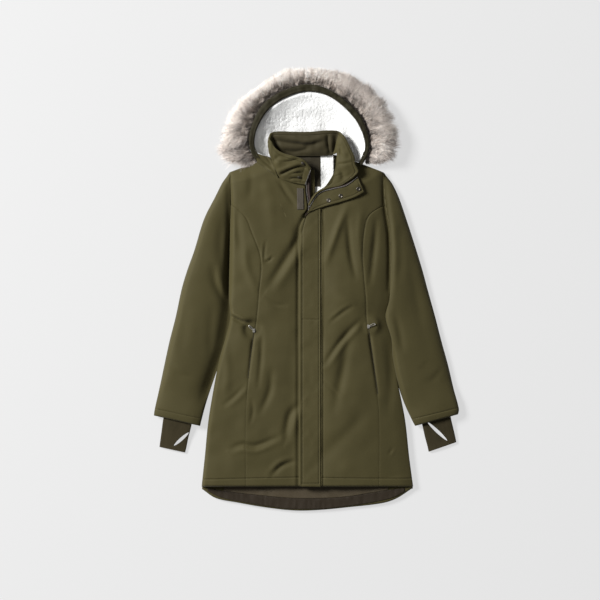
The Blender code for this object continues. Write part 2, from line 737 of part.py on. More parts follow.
def add_sleeve(name, rows, parts):
    """A padded tube pressed flat, with a slot of air along it."""
    at = route(rows)

    def place(turn, way, shrink, half_height):
        outer_x, outer_y, inner_x, inner_y, bow, height = at(way)
        angle = math.tau * turn
        width = math.hypot(inner_x - outer_x, inner_y - outer_y)
        share = 0.5 + rounded(math.cos(angle), 0.8) * (0.5 - shrink / width)
        x = outer_x + (inner_x - outer_x) * share + bow * 4 * share * (1 - share)
        y = outer_y + (inner_y - outer_y) * share
        low, high = sides_at(y)
        x = min(x, low - SLEEVE_GAP) if outer_x < 0 else max(x, high + SLEEVE_GAP)
        lift = rounded(math.sin(angle), 0.55)
        if half_height:
            return x, y, height / 2 + half_height * lift
        return x, y, height / 2 * (1 + max(lift * 1.06, -1.0) if lift < 0 else 1 + lift)

    def outer(turn, way):
        return place(turn, way, 0.0, 0.0)

    def inner(turn, way):
        open_end = ease((way - 0.88) / 0.08)
        half_slot = SLEEVE_SLOT + (SLEEVE_SLOT_AT_CUFF - SLEEVE_SLOT) * open_end
        return place(turn, way, SLEEVE_EDGE_WALL, half_slot)

    tube(name, outer, inner, 16, 14, OLIVE, parts)


def add_inner_cuff(name, rows, thumb, parts, cutters):
    """A thin cuff that comes out of the sleeve's lining, with an opening for the thumb."""
    at = route(rows)

    def place(turn, way, shrink):
        outer_x, outer_y, inner_x, inner_y, centre = at(way)
        angle = math.tau * turn
        width = math.hypot(inner_x - outer_x, inner_y - outer_y)
        share = 0.5 + rounded(math.cos(angle), 0.8) * (0.5 - shrink / width)
        x = outer_x + (inner_x - outer_x) * share
        y = outer_y + (inner_y - outer_y) * share
        return x, y, centre + (CUFF_HALF_HEIGHT - shrink) * rounded(math.sin(angle), 0.5)

    cuff = tube(
        name,
        lambda turn, way: place(turn, way, 0.0),
        lambda turn, way: place(turn, way, CUFF_WALL),
        12,
        6,
        DARK_OLIVE,
        parts,
    )
    cutter = add_object(name + "_thumb_cutter", lens(THUMB_WIDTH, thumb), OLIVE, cutters)
    cutter.hide_render = True
    cutter.display_type = "WIRE"
    cut = cuff.modifiers.new("thumb", "BOOLEAN")
    cut.operation = "DIFFERENCE"
    cut.solver = "EXACT"
    cut.object = cutter


def add_closure(parts):
    """Storm flap, zip and the part of the front that is turned back."""
    over_front = 2 * GAP
    over_flap = over_front + FLAP_WALL + GAP

    def laid(lift):
        return raised(front_high, lift)

    flap = patch(
        route(FLAP_EDGE),
        line((FLAP_RIGHT_X, FLAP_HEM_Y), (FLAP_RIGHT_X, FLAP_TOP_Y)),
        line(FLAP_EDGE[0], (FLAP_RIGHT_X, FLAP_HEM_Y)),
        line(FLAP_EDGE[-1], (FLAP_RIGHT_X, FLAP_TOP_Y)),
    )
    panel("storm_flap", flap, laid(over_front), laid(over_front + FLAP_WALL), 2, 22, OLIVE, parts)

    turned = paired(TURNED_FLAP)
    panel("storm_flap_turned", turned, laid(over_flap), laid(over_flap + FLAP_WALL), 14, 3, OLIVE, parts)

    dx, dy = ZIP_HALF_BAND
    zip_right = paired([(x + dx, y - dy, x - dx, y + dy) for x, y in ZIP_LINE])
    panel("zip_right", zip_right, laid(over_flap), laid(over_flap + ZIP_RIGHT_HEIGHT), 14, 1, SILVER, parts)

    facing = paired(FACING)
    panel("front_facing", facing, laid(over_flap), laid(over_flap + FACING_WALL), 12, 4, OLIVE, parts)

    low, high = (raised(front_low, lift) for lift in ZIP_LEFT_HEIGHTS)
    panel("zip_left", rectangle(*ZIP_LEFT), low, high, 1, 6, SILVER, parts)

    def chain_surface(lift):
        return lambda x, y: front_low(0, y) + lift

    chain = rectangle(-ZIP_HALF_WIDTH, ZIP_HALF_WIDTH, *CHAIN_Y)
    low, high = (chain_surface(lift) for lift in CHAIN_HEIGHTS)
    panel("zip_closed", chain, low, high, 1, 16, SILVER, parts)

    ribbon("wind_guard", WIND_GUARD, TAPE_WALL, 6, 2, DARK_OLIVE, parts)

    for number, (x, y) in enumerate(FLAP_SNAPS, 1):
        add_snap(f"flap_snap_{number}", x, y, laid(over_flap + FLAP_WALL), parts)

    tab = rectangle(*CHEST_TAB)
    panel("chest_tab", tab, laid(GAP), laid(GAP + TAPE_WALL), 2, 4, GREY_TAB, parts)


def add_snap(name, x, y, height, parts):
    """A snap's round socket, lying on the cloth."""
    bm = bmesh.new()
    bmesh.ops.create_cone(
        bm, cap_ends=True, segments=16, radius1=SNAP_RADIUS, radius2=SNAP_RADIUS * 0.8, depth=SNAP_HEIGHT
    )
    ways = ((1, 0), (-1, 0), (0, 1), (0, -1))
    lowest = max(height(x + SNAP_RADIUS * a, y + SNAP_RADIUS * b) for a, b in ways)
    bmesh.ops.translate(bm, verts=bm.verts, vec=(0, 0, SNAP_HEIGHT / 2))
    thing = add_object(name, bm, DARK_METAL, parts)
    thing.location = (x, y, lowest + GAP)


def add_collar(parts):
    """One stand collar, from zip to zip, with two snap studs on its left end."""
    ribbon("collar", COLLAR, COLLAR_WALL, 30, 2, OLIVE, parts)
    base, top = Vector(COLLAR[1][:3]), Vector(COLLAR[1][3:])
    next_base = Vector(COLLAR[2][:3])
    normal = (next_base - base).cross(top - base).normalized()
    if normal.z < 0:
        normal = -normal
    base_radius, top_radius, depth = STUD_SIZE
    for name, share in COLLAR_STUDS:
        bm = bmesh.new()
        bmesh.ops.create_cone(
            bm, cap_ends=True, segments=12, radius1=base_radius, radius2=top_radius, depth=depth
        )
        stud = add_object(name, bm, DARK_METAL, parts)
        stud.rotation_mode = "QUATERNION"
        stud.rotation_quaternion = normal.to_track_quat("Z", "Y")
        stud.location = base.lerp(top, share) + normal * (COLLAR_WALL / 2 + STUD_LIFT)


def add_neck(parts):
    """The fleece inside the back's neck, with the plain patch sewn on it."""
    low = BACK_WALL + GAP
    top = low + SHERPA_WALL

    panel("neck_lining", rectangle(*NECK_LINING), level(low), level(top), 4, 4, SHERPA, parts)
    low = top + CLEARANCE
    top = low + PATCH_WALL
    panel("neck_patch", rectangle(*NECK_PATCH), level(low), level(top), 4, 4, BROWN_LINING, parts)


def add_hood(parts):
    """Shell and fleece lining of the hood as a shallow bowl, its rim and its throat corner."""
    rim = route(RIM)
    core = route(HOOD_CORE)

    def bowl(turn, way):
        """Plan point and shell underside, from the rim, way 0, to the neck, way 1."""
        outer_x, outer_y, inner_x, inner_y, rim_z = rim(HOOD_FROM + (HOOD_TO - HOOD_FROM) * turn)
        core_x, core_y = core(turn)
        start_x, start_y = (outer_x * 0.4 + inner_x * 0.6), (outer_y * 0.4 + inner_y * 0.6)
        x = start_x + (core_x - start_x) * way
        y = start_y + (core_y - start_y) * way
        top = rim_z - HOOD_WALL - SHERPA_WALL - 3 * GAP
        return x, y, top * (1 - way) ** 2.6

    def layer(name, lift, wall, look):
        bm = grid(20, 6)
        for vertex in bm.verts:
            x, y, z = bowl(vertex.co.x, vertex.co.y)
            vertex.co = (x, y, z + lift)
        grown = bmesh.ops.extrude_face_region(bm, geom=bm.faces[:])
        for vertex in grown["geom"]:
            if isinstance(vertex, bmesh.types.BMVert):
                vertex.co.z += wall
        add_object(name, bm, look, parts)

    layer("hood_shell", 0.0, HOOD_WALL, OLIVE)
    layer("hood_lining", HOOD_WALL + GAP, SHERPA_WALL, SHERPA)

    def rim_place(turn, way):
        outer_x, outer_y, inner_x, inner_y, low = rim(way)
        angle = math.tau * turn
        share = 0.5 + 0.5 * rounded(math.cos(angle), 0.8)
        x = outer_x + (inner_x - outer_x) * share
        y = outer_y + (inner_y - outer_y) * share
        height = RIM_HEIGHT * (0.55 + 0.45 * math.sin(math.pi * way) ** 0.5)
        return x, y, low + height / 2 * (1 + rounded(math.sin(angle), 0.7))

    solid_tube("hood_rim", rim_place, 8, 26, DARK_OLIVE, parts)

    throat = patch(
        route(THROAT_LEFT, False),
        route(THROAT_RIGHT, False),
        line(THROAT_LEFT[0], THROAT_RIGHT[0]),
        line(THROAT_LEFT[-1], THROAT_RIGHT[-1]),
    )

    def low(x, y):
        return max(front_high(x, y) + GAP, THROAT_Z)

    panel("hood_throat", throat, low, raised(low, THROAT_WALL), 4, 4, OLIVE, parts)


def solid_tube(name, place, around, along, look, collection):
    """A closed tube with rounded ends: a sphere whose latitude runs along the piece."""
    bm = bmesh.new()
    bmesh.ops.create_uvsphere(bm, u_segments=around, v_segments=along, radius=1.0)
    for vertex in bm.verts:
        way = math.acos(max(-1.0, min(1.0, -vertex.co.z))) / math.pi
        turn = math.atan2(vertex.co.y, vertex.co.x) / math.tau
        pole = abs(vertex.co.z) > 0.99999
        if pole:
            low, high = Vector(place(0.25, way)), Vector(place(0.75, way))
            vertex.co = (low + high) / 2
        else:
            vertex.co = place(turn, way)
    return add_object(name, bm, look, collection)


def add_fur(parts):
    """The reach of the fur: a fat tube around the rim, flat underneath."""
    at = route(FUR)

    def place(turn, way):
        inner_x, inner_y, outer_x, outer_y, height = at(way)
        angle = math.tau * turn
        share = 0.5 + 0.5 * rounded(math.cos(angle), 0.85)
        x = inner_x + (outer_x - inner_x) * share
        y = inner_y + (outer_y - inner_y) * share
        lift = rounded(math.sin(angle), 0.75)
        if lift < 0:
            lift = max(lift * 1.15, -1.0)
        return x, y, height / 2 * (1 + lift)

    solid_tube("fur_trim", place, 12, 30, FUR_TAUPE, parts)


def add_pockets(parts):
    """A zip along each princess seam, its slider, and the pull tab on its hinge."""
    for name, top_x, top_y, low_x, low_y, pull_degrees in POCKETS:
        length = math.hypot(top_x - low_x, top_y - low_y)
        heading = math.atan2(top_y - low_y, top_x - low_x)
        aside_x = -math.sin(heading) * POCKET_ZIP_WIDTH / 2
        aside_y = math.cos(heading) * POCKET_ZIP_WIDTH / 2
        zip_rows = (
            (low_x + aside_x, low_y + aside_y, low_x - aside_x, low_y - aside_y),
            (top_x + aside_x, top_y + aside_y, top_x - aside_x, top_y - aside_y),
        )
        low, high = raised(front_high, GAP), raised(front_high, GAP + TAPE_WALL)
        columns = round(length / POCKET_ZIP_STEP)
        panel(f"pocket_zip_{name}", paired(zip_rows), low, high, columns, 1, DARK_METAL, parts)
        slider_x = top_x - math.cos(heading) * SLIDER_SETBACK
        slider_y = top_y - math.sin(heading) * SLIDER_SETBACK
        steps = (-SLIDER_REACH, 0, SLIDER_REACH)
        seat = max(front_high(slider_x + a, slider_y + b) for a in steps for b in steps)
        slider_z = seat + 2 * GAP + TAPE_WALL + SLIDER_SIZE[2] / 2 + CLEARANCE
        slider = add_block(f"pocket_slider_{name}", SLIDER_SIZE, (0, 0, 0), SILVER, parts)
        slider.location = (slider_x, slider_y, slider_z)
        slider.rotation_euler.z = heading - math.pi / 2

        hinge = bpy.data.objects.new(f"pocket_hinge_{name}", None)
        parts.objects.link(hinge)
        hinge_z = slider_z + SLIDER_SIZE[2] / 2 + CLEARANCE + PULL_SIZE[2] / 2
        hinge.location = (slider_x, slider_y, hinge_z)
        hinge.rotation_euler.z = math.radians(pull_degrees)
        pull = add_block(f"pocket_pull_{name}", PULL_SIZE, (PULL_SIZE[0] / 2, 0, 0), SILVER, parts)
        pull.parent = hinge


def add_block(name, size, centre, look, parts):
    """A small block with rounded edges."""
    bm = bmesh.new()
    bmesh.ops.create_cube(bm, size=1.0)
    bmesh.ops.scale(bm, verts=bm.verts, vec=size)
    bmesh.ops.translate(bm, verts=bm.verts, vec=centre)
    thing = add_object(name, bm, look, parts)
    edges = thing.modifiers.new("edges", "BEVEL")
    edges.width = min(size) * 0.3
    edges.segments = 1
    return thing


def main():
    for thing in list(bpy.data.objects):
        bpy.data.objects.remove(thing, do_unlink=True)
    parts = bpy.data.collections.new("fur_trimmed_parka")
    cutters = bpy.data.collections.new("cutters")
    bpy.context.scene.collection.children.link(parts)
    bpy.context.scene.collection.children.link(cutters)

    add_back(parts)
    add_tail(parts)
    add_fronts(parts)
    add_sleeve("sleeve_left", LEFT_SLEEVE, parts)
    add_sleeve("sleeve_right", RIGHT_SLEEVE, parts)
    add_inner_cuff("inner_cuff_left", LEFT_CUFF, LEFT_THUMB, parts, cutters)
    add_inner_cuff("inner_cuff_right", RIGHT_CUFF, RIGHT_THUMB, parts, cutters)
    add_neck(parts)
    add_closure(parts)
    add_collar(parts)
    add_hood(parts)
    add_fur(parts)
    add_pockets(parts)


main()
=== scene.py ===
"""Looks of the fur trimmed parka, laid out on its back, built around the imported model.

+X runs to the wearer's left, +Y to the hood and +Z up from the surface, in metres.
"left" and "right" in the names are the sides of the laid out coat as seen from above.
"""

import json
import math

import bmesh
import bpy
import numpy as np
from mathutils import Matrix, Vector
from mathutils.bvhtree import BVHTree


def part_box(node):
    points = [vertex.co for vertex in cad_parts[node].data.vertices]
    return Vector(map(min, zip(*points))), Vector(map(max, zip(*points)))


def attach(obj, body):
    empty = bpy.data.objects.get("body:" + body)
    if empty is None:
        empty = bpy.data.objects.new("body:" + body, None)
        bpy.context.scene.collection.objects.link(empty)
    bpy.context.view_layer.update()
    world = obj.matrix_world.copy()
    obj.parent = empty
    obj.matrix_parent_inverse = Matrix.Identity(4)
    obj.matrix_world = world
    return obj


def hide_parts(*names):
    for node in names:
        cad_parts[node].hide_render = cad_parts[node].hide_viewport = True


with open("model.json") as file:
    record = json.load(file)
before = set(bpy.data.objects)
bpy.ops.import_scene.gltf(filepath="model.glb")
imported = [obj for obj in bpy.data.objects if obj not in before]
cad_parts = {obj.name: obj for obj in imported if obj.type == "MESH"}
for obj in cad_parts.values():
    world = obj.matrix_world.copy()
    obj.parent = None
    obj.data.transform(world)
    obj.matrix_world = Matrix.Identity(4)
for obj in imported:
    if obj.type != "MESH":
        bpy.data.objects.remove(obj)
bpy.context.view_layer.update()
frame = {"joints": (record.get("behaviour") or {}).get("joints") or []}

# Cloth thicknesses and clearances, as in the CAD model
BACK_WALL = 0.012
FRONT_WALL = 0.0215
NECK_WALL = 0.012
SEAM_WALL = 0.0065
COLLAR_WALL = 0.0044
FLAP_WALL = 0.003
TAPE_WALL = 0.0014
SHERPA_WALL = 0.005
HOOD_WALL = 0.005
CUFF_WALL = 0.002
GAP = 0.0004
HALF_SEAM = 0.0001
SLEEVE_TUCK = 0.0010
BACK_INSET = 0.0005
AIR = 0.0032
NECK_LIFT = 0.006
HEM_LIFT = 0.0022

SHOULDER_Y = 0.294
SHOULDER_TOP_Y = 0.330
SHOULDER_OUTER_X = 0.191
SHOULDER_INNER_X = 0.086
SEAM_TOP_Y = 0.214
UNDERARM_Y = 0.156
FRONT_HEM_Y = -0.4895
BREAK_Y = 0.190
FLAP_LEFT_X = -0.017
FLAP_RIGHT_X = 0.037
HEM_STITCHES = (
    (-0.262, -0.4700), (-0.100, -0.4665), (0.000, -0.4652), (0.100, -0.4670), (0.268, -0.4690),
)

# Columns: y, left side, right side
BODY = (
    (-0.4895, -0.260, 0.267), (-0.414, -0.252, 0.257), (-0.324, -0.243, 0.247),
    (-0.237, -0.2285, 0.230), (-0.171, -0.2155, 0.217), (-0.120, -0.201, 0.2135),
    (-0.066, -0.189, 0.199), (-0.021, -0.192, 0.209), (0.094, -0.190, 0.212),
    (0.156, -0.189, 0.209), (0.214, -0.1882, 0.1978), (0.294, -0.191, 0.194),
)
# Columns: y, x of the princess seam
LEFT_PRINCESS = (
    (-0.4895, -0.150), (-0.316, -0.150), (-0.218, -0.143), (-0.136, -0.133),
    (-0.074, -0.123), (-0.007, -0.117), (0.076, -0.112), (0.150, -0.137),
    (0.185, -0.153), (0.214, -0.1882),
)
RIGHT_PRINCESS = (
    (-0.4895, 0.182), (-0.324, 0.182), (-0.248, 0.1765), (-0.175, 0.167),
    (-0.123, 0.159), (-0.074, 0.151), (-0.022, 0.149), (0.035, 0.144),
    (0.093, 0.141), (0.165, 0.148), (0.192, 0.162), (0.214, 0.1978),
)
# Columns: x, y
LEFT_NECK = (
    (-0.191, 0.294), (-0.138, 0.314), (-0.086, 0.328), (-0.064, 0.298),
    (-0.058, 0.280), (-0.018, 0.264), (0.000, 0.262),
)
LEFT_OPENING = (
    (-0.004, 0.190), (0.0030, 0.1990), (0.0052, 0.2080),
    (0.0028, 0.2280), (0.0004, 0.2480), (0.000, 0.262),
)
RIGHT_NECK = ((0.079, 0.338), (0.132, 0.318), (0.194, 0.294))
ROLL = (
    (0.004, 0.196), (0.010, 0.214), (0.022, 0.237), (0.047, 0.256),
    (0.060, 0.276), (0.071, 0.296), (0.077, 0.326), (0.079, 0.338),
)
BACK_TOP = (
    (-0.191, 0.294), (-0.138, 0.314), (-0.086, 0.330), (-0.045, 0.338), (0.0, 0.340),
    (0.045, 0.340), (0.086, 0.335), (0.138, 0.316), (0.194, 0.294),
)
TAIL = (
    (-0.258, -0.497), (-0.227, -0.518), (-0.170, -0.530), (-0.100, -0.542),
    (-0.030, -0.5495), (0.030, -0.5485), (0.110, -0.541), (0.192, -0.531),
    (0.227, -0.519), (0.264, -0.495),
)
# Columns: x, lower and upper y of the dropped hem's facing
TAIL_INSIDE = (
    (-0.246, -0.5005, -0.4930), (-0.215, -0.5160, -0.4985), (-0.160, -0.5275, -0.5065),
    (-0.110, -0.5365, -0.5120), (-0.040, -0.5450, -0.5185), (0.040, -0.5445, -0.5190),
    (0.110, -0.5370, -0.5140), (0.165, -0.5290, -0.5045), (0.215, -0.5175, -0.4965),
    (0.246, -0.5020, -0.4925),
)
# Columns: x, y
ZIP_LINE = (
    (0.009, 0.207), (0.018, 0.223), (0.028, 0.237), (0.042, 0.246),
    (0.071, 0.2535), (0.100, 0.261), (0.1285, 0.282),
)
# Columns: x, y of the free edge, x, y beside the zip
TURNED_FLAP = (
    (0.0000, 0.1900, 0.0100, 0.2040), (0.0160, 0.1970, 0.0190, 0.2205),
    (0.0350, 0.2040, 0.0300, 0.2350), (0.0540, 0.2100, 0.0440, 0.2438),
    (0.0800, 0.2170, 0.0725, 0.2513), (0.1220, 0.2310, 0.1020, 0.2588),
    (0.1460, 0.2440, 0.1305, 0.2800),
)
# Columns: x, y of the roll, x, y beside the zip
FACING = (
    (0.0062, 0.2118, 0.0082, 0.2098), (0.0110, 0.2225, 0.0158, 0.2240),
    (0.0205, 0.2365, 0.0255, 0.2388), (0.0320, 0.2465, 0.0395, 0.2478),
    (0.0470, 0.2570, 0.0610, 0.2545), (0.0600, 0.2760, 0.0900, 0.2615),
    (0.0690, 0.2865, 0.1265, 0.2845),
)
# Columns: outer x, outer y, inner x, inner y, bow, height
LEFT_SLEEVE = (
    (-0.1968, 0.2942, -0.1850, 0.1500, 0.0045, 0.0265),
    (-0.2255, 0.2360, -0.1850, 0.1150, 0.0010, 0.0290),
    (-0.2545, 0.1780, -0.1850, 0.0820, 0.0000, 0.0310),
    (-0.2790, 0.0990, -0.1855, 0.0450, 0.0000, 0.0320),
    (-0.2965, 0.0500, -0.1860, 0.0040, 0.0000, 0.0320),
    (-0.3105, 0.0030, -0.1870, -0.0420, 0.0000, 0.0315),
    (-0.3250, -0.0650, -0.1930, -0.0940, 0.0000, 0.0310),
    (-0.3405, -0.1260, -0.2065, -0.1540, 0.0000, 0.0305),
    (-0.3540, -0.1880, -0.2275, -0.2150, 0.0000, 0.0300),
    (-0.3670, -0.2500, -0.2480, -0.2770, 0.0000, 0.0295),
    (-0.3780, -0.3000, -0.2610, -0.3250, 0.0000, 0.0285),
    (-0.3795, -0.3120, -0.2640, -0.3380, 0.0000, 0.0260),
)
RIGHT_SLEEVE = (
    (0.2000, 0.2942, 0.2040, 0.1500, -0.0075, 0.0265),
    (0.2285, 0.2400, 0.2060, 0.1180, -0.0010, 0.0290),
    (0.2525, 0.1720, 0.2060, 0.0850, 0.0000, 0.0310),
    (0.2725, 0.1100, 0.2060, 0.0470, 0.0000, 0.0320),
    (0.2905, 0.0510, 0.2050, 0.0050, 0.0000, 0.0320),
    (0.3045, -0.0010, 0.1955, -0.0420, 0.0000, 0.0315),
    (0.3220, -0.0640, 0.1955, -0.0940, 0.0000, 0.0310),
    (0.3380, -0.1260, 0.2120, -0.1540, 0.0000, 0.0305),
    (0.3550, -0.1880, 0.2240, -0.2150, 0.0000, 0.0300),
    (0.3690, -0.2480, 0.2425, -0.2750, 0.0000, 0.0295),
    (0.3815, -0.2960, 0.2650, -0.3250, 0.0000, 0.0285),
    (0.3795, -0.3090, 0.2720, -0.3380, 0.0000, 0.0260),
)
# Columns: outer x, outer y, inner x, inner y, height of centre
LEFT_CUFF = (
    (-0.3530, -0.3050, -0.2830, -0.3220, 0.0128), (-0.3570, -0.3250, -0.2870, -0.3420, 0.0110),
    (-0.3605, -0.3500, -0.2935, -0.3670, 0.0070), (-0.3640, -0.3750, -0.2985, -0.3910, 0.0046),
    (-0.3660, -0.3910, -0.3020, -0.4050, 0.0040),
)
RIGHT_CUFF = (
    (0.3590, -0.3010, 0.2860, -0.3200, 0.0128), (0.3620, -0.3200, 0.2910, -0.3400, 0.0110),
    (0.3680, -0.3450, 0.2965, -0.3640, 0.0070), (0.3730, -0.3660, 0.3030, -0.3880, 0.0046),
    (0.3755, -0.3790, 0.3065, -0.4030, 0.0040),
)
LEFT_THUMB = (-0.2925, -0.3545, -0.3300, -0.3880)
RIGHT_THUMB = (0.3035, -0.3290, 0.3530, -0.3755)
THUMB_WIDTH = 0.008
# Columns: base x, y, z, top edge x, y, z
COLLAR = (
    (-0.001, 0.266, 0.0295, 0.0130, 0.303, 0.0435), (-0.020, 0.269, 0.0295, -0.0060, 0.324, 0.0485),
    (-0.039, 0.279, 0.0300, -0.0300, 0.333, 0.0505), (-0.051, 0.291, 0.0305, -0.0580, 0.341, 0.0505),
    (-0.060, 0.304, 0.0305, -0.0760, 0.353, 0.0495), (-0.072, 0.320, 0.0300, -0.0840, 0.367, 0.0475),
    (-0.082, 0.330, 0.0270, -0.0900, 0.377, 0.0445), (-0.085, 0.337, 0.0225, -0.0910, 0.386, 0.0400),
    (-0.080, 0.342, 0.0185, -0.0860, 0.392, 0.0360), (-0.062, 0.344, 0.0175, -0.0660, 0.395, 0.0345),
    (-0.030, 0.344, 0.0173, -0.0300, 0.394, 0.0355), (0.010, 0.344, 0.0175, 0.0120, 0.394, 0.0370),
    (0.045, 0.345, 0.0185, 0.0520, 0.397, 0.0390), (0.068, 0.347, 0.0245, 0.0820, 0.394, 0.0425),
    (0.077, 0.342, 0.0325, 0.0980, 0.378, 0.0450), (0.077, 0.330, 0.0365, 0.1110, 0.352, 0.0455),
    (0.075, 0.315, 0.0380, 0.1200, 0.333, 0.0440), (0.072, 0.300, 0.0390, 0.1225, 0.314, 0.0430),
    (0.068, 0.290, 0.0395, 0.1295, 0.293, 0.0415),
)
# Columns: outer x, outer y, inner x, inner y, underside z
RIM = (
    (-0.120, 0.316, -0.110, 0.324, 0.0250), (-0.131, 0.332, -0.119, 0.339, 0.0290),
    (-0.139, 0.350, -0.126, 0.354, 0.0310), (-0.142, 0.372, -0.128, 0.371, 0.0350),
    (-0.136, 0.406, -0.122, 0.400, 0.0400), (-0.112, 0.455, -0.098, 0.442, 0.0440),
    (-0.076, 0.485, -0.064, 0.471, 0.0450), (-0.034, 0.504, -0.028, 0.487, 0.0450),
    (0.004, 0.511, 0.006, 0.493, 0.0450), (0.045, 0.503, 0.042, 0.487, 0.0450),
    (0.090, 0.477, 0.080, 0.466, 0.0450), (0.134, 0.433, 0.121, 0.425, 0.0440),
    (0.153, 0.390, 0.141, 0.387, 0.0400), (0.158, 0.358, 0.146, 0.358, 0.0350),
    (0.149, 0.328, 0.138, 0.332, 0.0305), (0.137, 0.308, 0.129, 0.313, 0.0275),
)
RIM_HEIGHT = 0.012
HOOD_FROM, HOOD_TO = 0.060, 0.985
HOOD_CORE = (
    (-0.0905, 0.3315), (-0.060, 0.348), (0.0, 0.350),
    (0.060, 0.351), (0.096, 0.340), (0.119, 0.3245),
)
# Columns: inner x, y, outer x, y, height
FUR = (
    (-0.132, 0.318, -0.172, 0.306, 0.026), (-0.144, 0.345, -0.205, 0.325, 0.044),
    (-0.1465, 0.372, -0.214, 0.354, 0.054), (-0.141, 0.408, -0.200, 0.411, 0.060),
    (-0.117, 0.457, -0.155, 0.474, 0.060), (-0.079, 0.489, -0.104, 0.513, 0.058),
    (-0.036, 0.508, -0.048, 0.546, 0.056), (0.005, 0.5155, 0.008, 0.5495, 0.056),
    (0.048, 0.507, 0.064, 0.545, 0.056), (0.093, 0.481, 0.120, 0.527, 0.058),
    (0.138, 0.437, 0.185, 0.476, 0.060), (0.1575, 0.391, 0.226, 0.402, 0.060),
    (0.1625, 0.358, 0.228, 0.366, 0.056), (0.154, 0.329, 0.206, 0.327, 0.040),
    (0.150, 0.319, 0.176, 0.316, 0.024),
)
# Columns: name, x, y of the top, x, y of the bottom
POCKETS = (("left", -0.1285, -0.094, -0.1445, -0.218), ("right", 0.1545, -0.084, 0.1790, -0.258))

# Creases of the front. Columns: half width, rise, which side a ridge stands beside it, points
CREASES = (
    # The armholes
    (0.0055, -0.0034, 0, ((-0.1885, 0.284), (-0.1865, 0.240), (-0.1860, 0.190),
                          (-0.1875, 0.130), (-0.1885, 0.060), (-0.1880, -0.020))),
    (0.0055, -0.0030, 0, ((0.1920, 0.284), (0.1955, 0.240), (0.1985, 0.200),
                          (0.2075, 0.150), (0.2095, 0.080), (0.2060, 0.000))),
    (0.0046, -0.0052, 1, ((-0.195, -0.060), (-0.178, -0.069), (-0.156, -0.079), (-0.136, -0.083))),
    (0.0030, -0.0016, 1, ((-0.104, 0.071), (-0.093, 0.074), (-0.083, 0.083))),
    (0.0030, -0.0012, -1, ((-0.101, 0.120), (-0.1035, 0.097), (-0.104, 0.074))),
    (0.0110, -0.0022, 0, ((-0.172, 0.206), (-0.170, 0.160), (-0.163, 0.105))),
    (0.0100, 0.0018, 0, ((-0.152, 0.110), (-0.147, 0.055), (-0.122, -0.005))),
    (0.0080, -0.0024, 0, ((-0.021, 0.155), (-0.024, 0.128), (-0.034, 0.100))),
    (0.0110, -0.0030, 1, ((-0.020, 0.125), (-0.052, 0.074), (-0.090, 0.014))),
    (0.0055, -0.0016, 1, ((-0.066, 0.268), (-0.047, 0.240), (-0.027, 0.212))),
    (0.0140, 0.0012, 0, ((-0.105, 0.290), (-0.092, 0.230), (-0.085, 0.150))),
    (0.0090, -0.0012, 0, ((-0.140, 0.302), (-0.137, 0.270), (-0.141, 0.225))),
    (0.0070, -0.0026, 0, ((0.104, 0.176), (0.108, 0.120), (0.113, 0.080), (0.123, 0.034))),
    (0.0075, -0.0024, 0, ((0.175, 0.172), (0.170, 0.110), (0.160, 0.020))),
    (0.0085, 0.0026, 0, ((0.100, 0.206), (0.080, 0.156), (0.050, 0.070))),
    (0.0085, 0.0014, 0, ((0.138, 0.200), (0.131, 0.140), (0.136, 0.060))),
    (0.0045, -0.0014, -1, ((0.116, -0.040), (0.092, -0.054), (0.062, -0.078))),
    (0.0065, -0.0026, 1, ((0.134, -0.076), (0.105, -0.104), (0.076, -0.140), (0.048, -0.182))),
    (0.0120, -0.0026, 0, ((0.106, -0.116), (0.098, -0.160), (0.091, -0.200), (0.070, -0.300))),
    (0.0160, -0.0014, 0, ((0.156, -0.298), (0.110, -0.345), (0.045, -0.412))),
    (0.0028, -0.0010, 1, ((0.216, -0.394), (0.211, -0.402), (0.206, -0.409))),
    (0.0060, -0.0018, 0, ((-0.110, -0.106), (-0.112, -0.170), (-0.119, -0.240))),
    (0.0085, -0.0022, 0, ((-0.086, -0.202), (-0.090, -0.250), (-0.112, -0.302))),
    (0.0060, -0.0012, 1, ((-0.154, -0.238), (-0.178, -0.264), (-0.204, -0.285))),
    (0.0070, -0.0026, -1, ((-0.183, -0.392), (-0.158, -0.383), (-0.128, -0.388), (-0.072, -0.366))),
    (0.0095, -0.0030, 1, ((-0.019, -0.284), (-0.038, -0.306), (-0.047, -0.340), (-0.050, -0.366))),
    (0.0060, -0.0022, 1, ((-0.084, -0.458), (-0.060, -0.436), (-0.030, -0.426))),
    (0.0045, -0.0012, 0, ((-0.135, -0.272), (-0.132, -0.300), (-0.138, -0.330))),
    (0.0110, 0.0014, 0, ((-0.205, -0.120), (-0.196, -0.200), (-0.200, -0.260))),
    (0.0120, -0.0014, 0, ((0.205, -0.130), (0.212, -0.210), (0.206, -0.300))),
    (0.0040, -0.0010, 1, ((0.044, -0.230), (0.062, -0.244), (0.080, -0.262))),
    (0.0150, 0.0014, 0, ((0.060, 0.010), (0.090, -0.020), (0.128, -0.036))),
    (0.0040, -0.0010, -1, ((-0.100, -0.020), (-0.075, -0.035), (-0.050, -0.038))),
)
